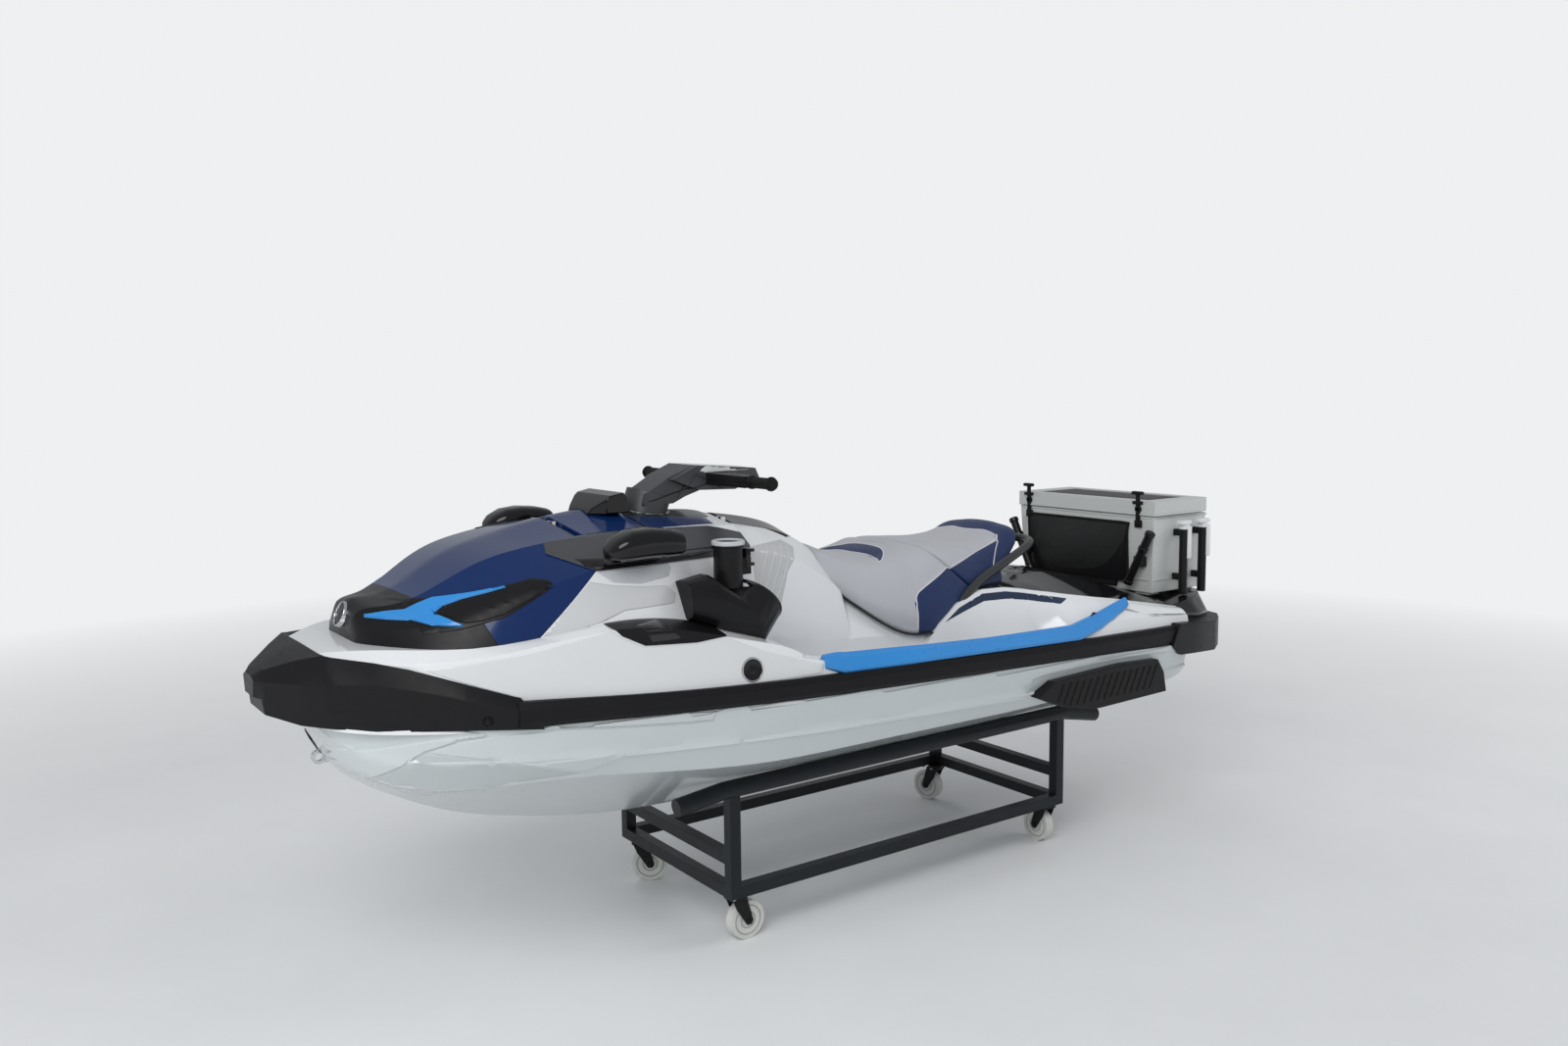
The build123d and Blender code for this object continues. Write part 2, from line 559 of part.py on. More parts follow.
net = side_prism([(COOLER_FRONT - 4, 950), (COOLER_FRONT - 4, 1190), (COOLER_FRONT + 14, 1190),
                  (COOLER_FRONT + 14, 950)], -232, 278) - cooler_shell
end_tube = [rod((s, y, 905), (s, y, 1190), 17) - rod((s, y, 1189 - ROD_DEPTH), (s, y, 1191), ROD_BORE) for s in (COOLER_FRONT + 140, COOLER_FRONT + 262)
            for y in (-398, 398)]
end_bracket = [block(s - 10, s + 10, y - 22, y + 22, z, z + 26) for s in (COOLER_FRONT + 140, COOLER_FRONT + 262)
               for y in (-375, 375) for z in (960, 1140)]
front_tube = [rod((COOLER_FRONT - 34, sign * 262, 950), (COOLER_FRONT - 34, sign * 372, 1165), 17) for sign in (-1, 1)]
cooler_fittings = [net] + end_tube + front_tube
end_core = [rod((s, y, 905), (s, y, 1190), 17) for s in (COOLER_FRONT + 140, COOLER_FRONT + 262)
            for y in (-398, 398)]
bracket_solids = [b - cooler_shell - end_core[0] - end_core[1] - end_core[2] - end_core[3] for b in end_bracket]
front_feet = [block(COOLER_FRONT - 22, COOLER_FRONT + 16, y - 20, y + 20, 1020, 1060) - cooler_shell
              for y in (-300, 300)]
cooler_fittings += bracket_solids + [f - front_tube[0] - front_tube[1] for f in front_feet]

# Jet drive
shaft_axis = Rot(0, 90, 0)
pump_middle = Pos(at(3122), 0, PUMP_Z)
jet_pump = pump_middle * shaft_axis * (Cylinder(PUMP_RADIUS, 270) - Cylinder(PUMP_BORE, 290))
flange = Pos(at(2993), 0, PUMP_Z) * shaft_axis * (Cylinder(TUNNEL_RADIUS, 12) - Cylinder(PUMP_BORE, 13))
jet_pump = jet_pump + flange + (block(3020, 3240, -40, 40, 433, 470) - pump_middle * shaft_axis
                                * Cylinder(PUMP_RADIUS - 4, 280))
for k in range(4):
    vane = pump_middle * Rot(90 * k + 45, 0, 0) * Pos(98, 0, 51) * Box(56, 7, 64)
    jet_pump = jet_pump + vane
jet_pump = jet_pump + Pos(at(3220), 0, PUMP_Z) * shaft_axis * Cylinder(26, 56)
jet_pump = jet_pump + Pos(at(3140), 0, PUMP_Z) * shaft_axis * Cylinder(10, 170)
for sign in (-1, 1):
    ear = block(3240, 3312, -14, 14, PUMP_Z + sign * 87 - 5, PUMP_Z + sign * 87 + 5)
    pin = Pos(at(NOZZLE_PIVOT), 0, PUMP_Z + sign * 79) * Cylinder(5, 22)
    jet_pump = jet_pump + ear + pin
gate_bracket = []
for sign in (-1, 1):
    plate = block(TRANSOM, 3362, sign * 110 - 4, sign * 110 + 4, PUMP_Z - 25, PUMP_Z + 25)
    pin = Pos(at(GATE_PIVOT), sign * 119, PUMP_Z) * Rot(90, 0, 0) * Cylinder(6, 22)
    gate_bracket.append(plate + pin)
hub = Pos(at(3130), 0, PUMP_Z) * shaft_axis * Cylinder(26, 112)
blade = Pos(0, 0, 46) * Rot(0, 0, 38) * Box(84, 7, 70)
impeller = hub
for k in range(3):
    impeller = impeller + Pos(at(3130), 0, PUMP_Z) * Rot(120 * k, 0, 0) * blade
impeller = impeller & Pos(at(3130), 0, PUMP_Z) * shaft_axis * Cylinder(PUMP_BORE - 5, 112)
impeller = impeller - Pos(at(3130), 0, PUMP_Z) * shaft_axis * Cylinder(10.05, 120)
nozzle = Pos(at(3355), 0, PUMP_Z) * shaft_axis * Cone(74, 52, 130)
for sign in (-1, 1):
    nozzle = nozzle + Pos(at(NOZZLE_PIVOT), 0, PUMP_Z + sign * 66) * Cylinder(9, 20)
nozzle = nozzle - Pos(at(3355), 0, PUMP_Z) * shaft_axis * Cone(64.5, 43.5, 134)
for sign in (-1, 1):
    nozzle = nozzle - Pos(at(NOZZLE_PIVOT), 0, PUMP_Z + sign * 70) * Cylinder(5.05, 30)
gate_shell = Pos(at(GATE_PIVOT), 0, PUMP_Z) * Rot(90, 0, 0) * (Cylinder(128, 246) - Cylinder(119, 247))
gate_wedge = side_prism([(GATE_PIVOT, PUMP_Z), (GATE_PIVOT - 110, PUMP_Z + 170), (GATE_PIVOT + 150, PUMP_Z + 170)],
                        -130, 130)
gate_arm = side_prism([(GATE_PIVOT - 14, PUMP_Z - 14), (GATE_PIVOT - 66, PUMP_Z + 104), (GATE_PIVOT + 76, PUMP_Z + 92),
                       (GATE_PIVOT + 14, PUMP_Z - 14)], 115, 123)
reverse_gate = (gate_shell & gate_wedge) + gate_arm + mirror(gate_arm, Plane.XZ)
reverse_gate = reverse_gate - Pos(at(GATE_PIVOT), 0, PUMP_Z) * Rot(90, 0, 0) * Cylinder(6.05, 300)
ride_plate = block(2706, 3400, -TUNNEL_RADIUS, TUNNEL_RADIUS, 421, 433)
jet_pump = jet_pump - ride_plate

# Cradle
rails = []
for y in (-CRADLE_HALF_WIDTH + TUBE / 2, CRADLE_HALF_WIDTH - TUBE / 2):
    rails.append(Pos(at((CRADLE_FRONT + CRADLE_REAR) / 2), y, CRADLE_RAIL_Z + TUBE / 2)
                 * Box(CRADLE_REAR - CRADLE_FRONT, TUBE, TUBE))
for s in (CRADLE_FRONT + TUBE / 2, CRADLE_REAR - TUBE / 2):
    for z in (CRADLE_RAIL_Z, CROSS_RAIL_Z):
        rails.append(Pos(at(s), 0, z + TUBE / 2) * Box(TUBE, 2 * CRADLE_HALF_WIDTH, TUBE))
    for y in (-CRADLE_HALF_WIDTH + TUBE / 2, CRADLE_HALF_WIDTH - TUBE / 2):
        rails.append(Pos(at(s), y, (CRADLE_RAIL_Z + BUNK_Z) / 2) * Box(TUBE, TUBE, BUNK_Z - CRADLE_RAIL_Z))
bunk = tube([(1118, BUNK_Y, 488), (1290, BUNK_Y, BUNK_Z), (2830, BUNK_Y, BUNK_Z), (3010, BUNK_Y, 473)], 120, BUNK_RADIUS)
cradle = rails[0]
for r in rails[1:]:
    cradle = cradle + r
cradle = cradle - bunk - mirror(bunk, Plane.XZ)
bunks = both_sides(bunk - hull)

# Casters: name, station, y, direction of the trail in the top view
CASTERS = [
    ("front_port", 1347, -CASTER_Y, 0),
    ("front_starboard", 1347, CASTER_Y, -29),
    ("rear_port", 2777, -CASTER_Y, 88),
    ("rear_starboard", 2777, CASTER_Y, 102),
]
PLATE_Z = CRADLE_RAIL_Z
for name, s, y, yaw in CASTERS:
    frame = Pos(at(s), y, 0) * Rot(0, 0, yaw)
    wheel = frame * (Pos(CASTER_TRAIL, 0, WHEEL_RADIUS) * Rot(90, 0, 0)
                     * (Cylinder(WHEEL_RADIUS, WHEEL_WIDTH) - Cylinder(6.05, WHEEL_WIDTH + 1)))
    plate = Pos(0, 0, PLATE_Z - 5.3) * Cylinder(30, 9)
    cheek = Solid.extrude(Face(Wire.make_polygon([
        Vector(-26, 22, PLATE_Z - 9.8), Vector(26, 22, PLATE_Z - 9.8), Vector(CASTER_TRAIL + 15, 22, WHEEL_RADIUS),
        Vector(CASTER_TRAIL + 8, 22, WHEEL_RADIUS - 13), Vector(CASTER_TRAIL - 8, 22, WHEEL_RADIUS - 13),
        Vector(-10, 22, WHEEL_RADIUS + 45)], close=True)), Vector(0, 4, 0))
    crown = Pos(0, 0, PLATE_Z - 13.8) * Box(56, 52, 8)
    axle = Pos(CASTER_TRAIL, 0, WHEEL_RADIUS) * Rot(90, 0, 0) * Cylinder(6, 60)
    fork = plate + crown + cheek + mirror(cheek, Plane.XZ) + axle
    save("caster_fork_" + name, frame * fork)
    save("caster_wheel_" + name, wheel)

# The deck's two mouldings meet ahead of the footwells
DECK_JOINT = 1430.0
footwell_deck = deck - block(-200, DECK_JOINT, -WIDE, WIDE, 300, 1700)
deck = deck - block(DECK_JOINT, 4200, -WIDE, WIDE, 300, 1700)
save("hull", hull)
save("engine", engine_box)
save("nose_hood", nose_hood)
save("nose_cowl", nose_cowl)
save("hood_trim", hood_trim)
save("front_lid", front_lid)
save("gauge_hood", gauge_hood)
save("deck", deck)
save("footwell_deck", footwell_deck)
save("front_bumper", bumper)
save("rub_rail", *rub_rail)
save("rear_bumper", rear_bumper)
save("rear_deck", rear_deck)
save("seat_front", seat_front)
save("seat_rear", seat_rear)
save("steering_neck", steering_neck)
save("handlebar", *handlebar)
save("grips", *grips)
save("levers", *levers)
save("mirrors", *mirrors)
save("glove_lid", glove_lid)
save("console_panels", *console_panels)
save("speaker_pods", *speaker_pods)
save("cup_holder", cup_holder)
save("side_cleats", *side_cleats)
save("gunwale_trim", *gunwale_trim)
save("floor_mats", *floor_mats)
save("sponsons", *sponsons)
save("bow_eye", bow_eye)
save("grab_handle", grab_handle)
save("cooler_tub", cooler_tub)
save("cooler_lid", cooler_lid)
save("cooler_fittings", *cooler_fittings)
save("jet_pump", jet_pump, *gate_bracket)
save("impeller", impeller)
save("nozzle", nozzle)
save("reverse_gate", reverse_gate)
save("ride_plate", ride_plate)
save("cradle_frame", cradle, *bunks)
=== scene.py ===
"""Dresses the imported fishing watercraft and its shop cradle: finishes, seats, fittings and stage.

Run as a script. Stations, as in the part's source, are measured aft from the bow tip, in metres."""
import json
import math

import bmesh
import bpy
import numpy as np
from mathutils import Matrix, Vector, geometry
from mathutils.bvhtree import BVHTree

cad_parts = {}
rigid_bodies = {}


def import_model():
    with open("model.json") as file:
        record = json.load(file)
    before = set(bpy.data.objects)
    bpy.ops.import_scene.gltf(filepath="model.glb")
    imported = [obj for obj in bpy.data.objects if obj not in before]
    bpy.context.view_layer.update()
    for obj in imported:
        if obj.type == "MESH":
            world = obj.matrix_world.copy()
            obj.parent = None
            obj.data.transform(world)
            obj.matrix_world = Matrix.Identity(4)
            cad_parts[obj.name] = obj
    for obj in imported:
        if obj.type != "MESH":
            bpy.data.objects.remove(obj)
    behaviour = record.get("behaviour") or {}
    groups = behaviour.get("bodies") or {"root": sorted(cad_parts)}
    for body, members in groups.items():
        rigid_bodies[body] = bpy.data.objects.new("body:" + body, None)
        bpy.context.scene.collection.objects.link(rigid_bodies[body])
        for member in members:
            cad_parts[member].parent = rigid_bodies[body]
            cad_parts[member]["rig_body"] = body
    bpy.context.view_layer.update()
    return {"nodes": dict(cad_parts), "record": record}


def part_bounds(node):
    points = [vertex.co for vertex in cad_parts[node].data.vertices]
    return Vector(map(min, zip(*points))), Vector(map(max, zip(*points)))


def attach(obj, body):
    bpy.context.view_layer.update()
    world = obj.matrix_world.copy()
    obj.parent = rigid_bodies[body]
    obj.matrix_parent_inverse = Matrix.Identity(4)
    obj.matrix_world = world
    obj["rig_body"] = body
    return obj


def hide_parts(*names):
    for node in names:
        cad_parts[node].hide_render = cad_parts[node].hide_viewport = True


bl_info = {
    "name": "Fishing watercraft",
    "version": (1, 0, 0),
    "blender": (4, 5, 0),
    "location": "View3D > Sidebar > Watercraft",
    "description": "Finishes, seats and fittings for the watercraft and its cradle",
    "category": "Object",
}

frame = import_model()
NODES = frame["nodes"]

MATERIALS = {}
SKINS = {}

# Station of the frame's origin, and places that rays towards the craft start from, in metres
BOW_X = 1.865
OUTSIDE_Y = 1.2
ABOVE_Z = 2.6


def at(station):
    """X of a station measured aft from the bow tip."""
    return station - BOW_X


def spot(station, y, z):
    return Vector((at(station), y, z))


# Materials


class Shade:
    """A node tree under construction, with short calls for the nodes that the finishes share."""

    def __init__(self, name):
        self.material = bpy.data.materials.new(name)
        self.material.use_nodes = True
        self.tree = self.material.node_tree
        self.tree.nodes.clear()
        output = self.tree.nodes.new("ShaderNodeOutputMaterial")
        self.shader = self.tree.nodes.new("ShaderNodeBsdfPrincipled")
        self.link(self.shader.outputs[0], output.inputs[0])
        self.place = self.tree.nodes.new("ShaderNodeTexCoord").outputs["Object"]
        MATERIALS[name] = self.material

    def link(self, source, target):
        self.tree.links.new(source, target)

    def math(self, operation, a, b=0.0, c=0.0, clamp=False):
        node = self.tree.nodes.new("ShaderNodeMath")
        node.operation = operation
        node.use_clamp = clamp
        for socket, value in zip(node.inputs, (a, b, c)):
            if isinstance(value, (int, float)):
                socket.default_value = value
            else:
                self.link(value, socket)
        return node.outputs[0]

    def noise(self, scale, detail=3.0, roughness=0.5, stretch=None):
        node = self.tree.nodes.new("ShaderNodeTexNoise")
        node.inputs["Scale"].default_value = scale
        node.inputs["Detail"].default_value = detail
        node.inputs["Roughness"].default_value = roughness
        self.link(self.stretched(stretch), node.inputs["Vector"])
        return node.outputs[0]

    def cells(self, scale):
        node = self.tree.nodes.new("ShaderNodeTexVoronoi")
        node.inputs["Scale"].default_value = scale
        self.link(self.place, node.inputs["Vector"])
        return node.outputs["Distance"]

    def stretched(self, stretch):
        if stretch is None:
            return self.place
        node = self.tree.nodes.new("ShaderNodeMapping")
        node.inputs["Scale"].default_value = stretch
        self.link(self.place, node.inputs["Vector"])
        return node.outputs[0]

    def bands(self, pitch, heading):
        """Rounded ridges a pitch apart, square to a heading."""
        along = self.tree.nodes.new("ShaderNodeVectorMath")
        along.operation = "DOT_PRODUCT"
        self.link(self.place, along.inputs[0])
        along.inputs[1].default_value = Vector(heading).normalized()
        wave = self.math("SINE", self.math("MULTIPLY", along.outputs["Value"], 2 * math.pi / pitch))
        return self.math("MULTIPLY_ADD", wave, 0.5, 0.5)

    def between(self, value, low, high, to_low=0.0, to_high=1.0):
        node = self.tree.nodes.new("ShaderNodeMapRange")
        for socket, number in zip(node.inputs[1:5], (low, high, to_low, to_high)):
            socket.default_value = number
        self.link(value, node.inputs[0])
        return node.outputs[0]

    def mix(self, share, a, b):
        node = self.tree.nodes.new("ShaderNodeMix")
        node.data_type = "RGBA"
        for socket, value in ((node.inputs[0], share), (node.inputs[6], a), (node.inputs[7], b)):
            if isinstance(value, (int, float)):
                socket.default_value = value
            elif isinstance(value, (tuple, list)):
                socket.default_value = (*value, 1.0) if len(value) == 3 else value
            else:
                self.link(value, socket)
        return node.outputs[2]

    def soft_edge(self, radius):
        node = self.tree.nodes.new("ShaderNodeBevel")
        node.samples = 4
        node.inputs["Radius"].default_value = radius
        return node.outputs[0]

    def bump(self, height, distance, normal=None):
        node = self.tree.nodes.new("ShaderNodeBump")
        node.inputs["Strength"].default_value = 1.0
        node.inputs["Distance"].default_value = distance
        self.link(height, node.inputs["Height"])
        if normal is not None:
            self.link(normal, node.inputs["Normal"])
        return node.outputs[0]

    def attribute(self, name):
        node = self.tree.nodes.new("ShaderNodeAttribute")
        node.attribute_name = name
        return node.outputs["Fac"]

    def set(self, **values):
        for name, value in values.items():
            socket = self.shader.inputs[name.replace("_", " ")]
            if isinstance(value, bpy.types.NodeSocket):
                self.link(value, socket)
            else:
                socket.default_value = (*value, 1.0) if isinstance(value, tuple) else value


def tint(colour, factor):
    return tuple(min(1.0, c * factor) for c in colour)


def finish(name, colour, roughness, metallic=0.0, coat=0.0, edge=0.002, grain=None, mottle=(6.0, 0.05),
           scuff=0.05, flake=0.0, sheen=0.0, mirror=0.5):
    """A finish. edge is its soft edge's radius, grain its kind, size and depth, mottle scale and depth."""
    s = Shade(name)
    cloud = s.noise(mottle[0], 4.0, 0.55)
    share = s.between(cloud, 0.3, 0.7)
    base = s.mix(share, tint(colour, 1 - mottle[1]), tint(colour, 1 + mottle[1]))
    if flake:
        sparkle = s.between(s.cells(1800.0), 0.0, 0.35, 1.0, 0.0)
        base = s.mix(s.math("MULTIPLY", sparkle, flake), base, tint(colour, 2.6))
    s.set(Base_Color=base, Metallic=metallic, Specular_IOR_Level=mirror)
    rub = s.noise(38.0, 5.0, 0.65)
    s.set(Roughness=s.between(rub, 0.25, 0.75, max(0.02, roughness - scuff), min(1.0, roughness + scuff)))
    if coat:
        s.set(Coat_Weight=coat, Coat_Roughness=0.04)
    if sheen:
        s.set(Sheen_Weight=sheen, Sheen_Roughness=0.5)
    normal = s.soft_edge(edge) if edge else None
    if grain:
        kind, size, depth = grain
        if kind == "leather":
            height = s.between(s.cells(1.0 / size), 0.0, 0.6)
        elif kind == "pebble":
            height = s.noise(1.0 / size, 2.0, 0.6)
        elif kind == "ribs":
            height = s.bands(size, (0.55, 0.0, -1.0))
        elif kind == "treads":
            height = s.bands(size, (1.0, 0.6, 0.0))
        elif kind == "rings":
            height = s.bands(size, (0.0, 1.0, 0.0))
        elif kind == "mesh":
            height = s.math("MULTIPLY", s.bands(size, (0.0, 1.0, 0.5)), s.bands(size, (0.0, -1.0, 0.5)))
        elif kind == "brushed":
            height = s.noise(1.0 / size, 2.0, 0.5, stretch=(0.05, 1.0, 1.0))
        else:
            height = s.noise(1.0 / size, 1.0, 0.4)
        normal = s.bump(height, depth, normal)
    if normal is not None:
        s.set(Normal=normal)
    return s


def paint_gap_shade(s, stretches, width, floor):
    """Turns a finish black in narrow stretches of x, within a width and above a height: painted shade in lid
    gaps.
    """
    place = s.tree.nodes.new("ShaderNodeSeparateXYZ")
    s.link(s.place, place.inputs[0])
    inside = 0.0
    for start, end in stretches:
        rise = s.between(place.outputs[0], start, start + 0.0006)
        fall = s.between(place.outputs[0], end - 0.0006, end, 1.0, 0.0)
        inside = s.math("MULTIPLY_ADD", rise, fall, inside)
    high = s.between(place.outputs[2], floor, floor + 0.001)
    near = s.between(s.math("ABSOLUTE", place.outputs[1]), width - 0.001, width, 1.0, 0.0)
    share = s.math("MULTIPLY", s.math("MULTIPLY", inside, high), near, clamp=True)
    before = s.shader.inputs["Base Color"].links[0].from_socket
    # near-black that stands in for the shade in the gaps
    s.set(Base_Color=s.mix(share, before, (0.006, 0.006, 0.007)))


def make_seat_vinyl(c):
    """Leather-grained vinyl, grey outside the navy panels. The panels come from the seats' own attribute."""
    s = Shade("seat_vinyl")
    panel = s.between(s.attribute("navy"), -0.0004, 0.0004)
    cloud = s.between(s.noise(7.0, 4.0, 0.55), 0.3, 0.7)
    grey = s.mix(cloud, tint(c.seat_grey, 0.97), tint(c.seat_grey, 1.03))
    navy = s.mix(cloud, tint(c.seat_navy, 0.92), tint(c.seat_navy, 1.08))
    s.set(Base_Color=s.mix(panel, grey, navy), Sheen_Weight=0.08, Sheen_Roughness=0.5)
    s.set(Roughness=s.between(s.noise(38.0, 5.0, 0.65), 0.25, 0.75, 0.42, 0.56))
    height = s.between(s.cells(1.0 / 0.0022), 0.0, 0.6)
    s.set(Normal=s.bump(height, 0.0002))


def make_materials(c):
    """Every finish, from the colours in the property group."""
    paint_peel, fine_peel = ("peel", 0.02, 0.00006), ("peel", 0.01, 0.00005)
    leather = ("leather", 0.0022, 0.00022)
    pebbles = {depth: ("pebble", 0.0016, depth) for depth in (0.00002, 0.00008, 0.0001, 0.0002)}
    finish("deck_gelcoat", c.deck_white, 0.16, coat=0.6, edge=0.004, grain=paint_peel, mottle=(3.0, 0.012),
           scuff=0.03)
    # the deck's gelcoat, painted black in the gaps round the front lid as painted shade
    deck_gelcoat_gap_shade = finish("deck_gelcoat_gap_shade", c.deck_white, 0.16, coat=0.6, edge=0.004, grain=paint_peel,
                        mottle=(3.0, 0.012), scuff=0.03)
    paint_gap_shade(deck_gelcoat_gap_shade, [(at(0.840), at(0.8625)), (at(1.0965), at(1.1075))], 0.262, 1.288)
    finish("hull_gelcoat", c.hull_white, 0.2, coat=0.5, edge=0.003, grain=paint_peel, mottle=(2.5, 0.02),
           scuff=0.04)
    # pale grey of the cup's rim, and of the painted shadow under the console
    finish("inset_grey", c.inset_grey, 0.3, coat=0.2, edge=0.003, grain=fine_peel, mottle=(4.0, 0.02))
    finish("hood_navy", c.hood_navy, 0.14, coat=0.08, edge=0.004, mottle=(2.0, 0.08), flake=0.06,
           scuff=0.03, mirror=0.28)
    finish("accent_blue", c.accent_blue, 0.3, coat=0.4, edge=0.0015, mottle=(5.0, 0.03))
    finish("cowl_black", c.moulded_black, 0.34, edge=0.003, grain=pebbles[0.00002], mottle=(8.0, 0.1),
           mirror=0.22)
    finish("gloss_black", (0.005, 0.005, 0.006), 0.1, coat=0.12, edge=0.003, mottle=(5.0, 0.1), scuff=0.03,
           mirror=0.3)
    finish("bumper_black", c.moulded_black, 0.42, edge=0.005, grain=pebbles[0.00008], mottle=(5.0, 0.12),
           mirror=0.22)
    finish("rail_black", c.moulded_black, 0.5, edge=0.003, grain=pebbles[0.0002], mottle=(7.0, 0.12),
           mirror=0.2)
    finish("grip_rubber", (0.008, 0.008, 0.008), 0.62, edge=0.0015, grain=("rings", 0.005, 0.0009),
           mirror=0.2)
    finish("rubber_black", (0.008, 0.008, 0.008), 0.6, edge=0.0015, grain=("pebble", 0.001, 0.0002),
           mottle=(20.0, 0.15), mirror=0.2)
    finish("console_graphite", (0.085, 0.088, 0.096), 0.33, metallic=0.5,
           grain=("pebble", 0.0012, 0.00008), mottle=(6.0, 0.06))
    finish("steering_grey", (0.042, 0.044, 0.048), 0.42, edge=0.004, grain=("pebble", 0.0012, 0.0001),
           mottle=(8.0, 0.08))
    finish("mat_foam", c.mat_grey, 0.8, edge=0.001, grain=("treads", 0.016, 0.0015), mottle=(15.0, 0.06),
           sheen=0.1)
    finish("cooler_shell", c.cooler_grey, 0.36, edge=0.007, grain=("pebble", 0.0015, 0.00014),
           mottle=(6.0, 0.02))
    finish("cooler_lid", tint(c.cooler_grey, 0.93), 0.36, edge=0.006, grain=("pebble", 0.0015, 0.00014),
           mottle=(6.0, 0.02))
    finish("white_clip", (0.72, 0.73, 0.74), 0.35, mottle=(9.0, 0.02))
    finish("cradle_steel", c.cradle_black, 0.38, metallic=0.1, edge=0.003, grain=("peel", 0.006, 0.00008),
           mottle=(9.0, 0.15), mirror=0.3)
    finish("zinc", (0.42, 0.43, 0.45), 0.35, metallic=0.9, edge=0.001, grain=("brushed", 0.002, 0.00005),
           mottle=(25.0, 0.12))
    finish("bright_steel", (0.62, 0.63, 0.65), 0.16, metallic=1.0, edge=0.001,
           grain=("brushed", 0.0012, 0.00003), mottle=(25.0, 0.06))
    finish("cast_alloy", (0.16, 0.165, 0.175), 0.42, metallic=0.7, grain=pebbles[0.0001],
           mottle=(14.0, 0.1))
    finish("wheel_nylon", (0.62, 0.62, 0.59), 0.42, edge=0.003, grain=("pebble", 0.002, 0.0001),
           mottle=(18.0, 0.06))
    # a darker copy of the wheel nylon: painted shade for the ring grooves on the wheels' faces
    finish("wheel_shade", (0.34, 0.34, 0.33), 0.45, edge=0.0, grain=("pebble", 0.002, 0.0001),
           mottle=(18.0, 0.06))
    finish("vinyl_grey", c.seat_grey, 0.5, edge=0.0, grain=leather, mottle=(7.0, 0.03), sheen=0.08)
    finish("vinyl_navy", c.seat_navy, 0.48, edge=0.0, grain=leather, mottle=(7.0, 0.06), sheen=0.06)
    make_seat_vinyl(c)
    # a darker copy of the hull's gelcoat: painted shade for the lower facet of the bow
    finish("hull_shade", tint(c.hull_white, 0.82), 0.2, coat=0.5, edge=0.003, mottle=(2.5, 0.02), scuff=0.04)
    finish("inset_pale", tint(c.deck_white, 0.76), 0.2, coat=0.4, edge=0.003, mottle=(3.0, 0.015),
           scuff=0.03)
    finish("side_pale", tint(c.deck_white, 0.88), 0.14, coat=0.5, edge=0.003, mottle=(3.0, 0.012),
           scuff=0.03)
    finish("stripe_navy", (0.010, 0.022, 0.060), 0.3, coat=0.3, edge=0.001, mottle=(9.0, 0.06))
    # gloss black; in the cleats' recesses, the neck's grooves and the well under the front lid it is painted
    # shade
    finish("recess_black", (0.006, 0.006, 0.007), 0.2, coat=0.3, mottle=(9.0, 0.1))
    finish("rib_grey", (0.50, 0.51, 0.51), 0.3, coat=0.2, grain=fine_peel, mottle=(5.0, 0.03))
    finish("cover_white", (0.62, 0.63, 0.64), 0.3, coat=0.2, mottle=(6.0, 0.02))
    finish("handle_satin", (0.045, 0.047, 0.05), 0.3, metallic=0.35, edge=0.0,
           grain=("peel", 0.004, 0.00004))
    finish("mat_dark", (0.07, 0.07, 0.075), 0.7, edge=0.001, grain=pebbles[0.0002], mottle=(15.0, 0.1))
    finish("mesh_black", (0.006, 0.007, 0.007), 0.5, edge=0.0, grain=("mesh", 0.005, 0.0009),
           mottle=(15.0, 0.12))
    finish("piping_white", (0.66, 0.67, 0.69), 0.5, edge=0.0, grain=("pebble", 0.0008, 0.0001))
    finish("screen_glass", (0.004, 0.005, 0.007), 0.06, coat=1.0, edge=0.0, mottle=(3.0, 0.1), scuff=0.02)
    finish("engine_grey", (0.09, 0.09, 0.095), 0.5, metallic=0.4, edge=0.003,
           grain=("pebble", 0.002, 0.0003))


# Geometry

SOFT_SHADING = None


def soft_shading_group():
    """A geometry node group that merges the frame's split corners and keeps only real edges sharp."""
    global SOFT_SHADING
    if SOFT_SHADING:
        return SOFT_SHADING
    group = bpy.data.node_groups.new("soft_shading", "GeometryNodeTree")
    group.interface.new_socket("Geometry", in_out="INPUT", socket_type="NodeSocketGeometry")
    angle = group.interface.new_socket("Angle", in_out="INPUT", socket_type="NodeSocketFloat")
    angle.default_value = math.radians(25)
    group.interface.new_socket("Geometry", in_out="OUTPUT", socket_type="NodeSocketGeometry")
    nodes, links = group.nodes, group.links
    given = nodes.new("NodeGroupInput")
    out = nodes.new("NodeGroupOutput")
    merge = nodes.new("GeometryNodeMergeByDistance")
    merge.inputs["Distance"].default_value = 0.00002
    smooth = nodes.new("GeometryNodeSetShadeSmooth")
    sharp = nodes.new("GeometryNodeSetShadeSmooth")
    sharp.domain = "EDGE"
    sharp.inputs["Shade Smooth"].default_value = False
    edge = nodes.new("GeometryNodeInputMeshEdgeAngle")
    compare = nodes.new("FunctionNodeCompare")
    compare.data_type = "FLOAT"
    compare.operation = "GREATER_THAN"
    links.new(given.outputs[0], merge.inputs["Geometry"])
    links.new(merge.outputs[0], smooth.inputs["Geometry"])
    links.new(smooth.outputs[0], sharp.inputs["Geometry"])
    links.new(edge.outputs[0], compare.inputs[0])
    links.new(given.outputs[1], compare.inputs[1])
    links.new(compare.outputs[0], sharp.inputs["Selection"])
    links.new(sharp.outputs[0], out.inputs[0])
    SOFT_SHADING = group
    return group


def dress(shown, node, material, angle):
    """Gives a node's mesh, or a copy of it, its finish and smooth shading between its real edges."""
    mesh = shown.data
    mesh.materials.clear()
    mesh.materials.append(MATERIALS[material])
    for polygon in mesh.polygons:
        polygon.material_index = 0
    if "custom_normal" in mesh.attributes:
        mesh.attributes.remove(mesh.attributes["custom_normal"])
    soften(shown, angle, ROUNDED.get(node, 0))


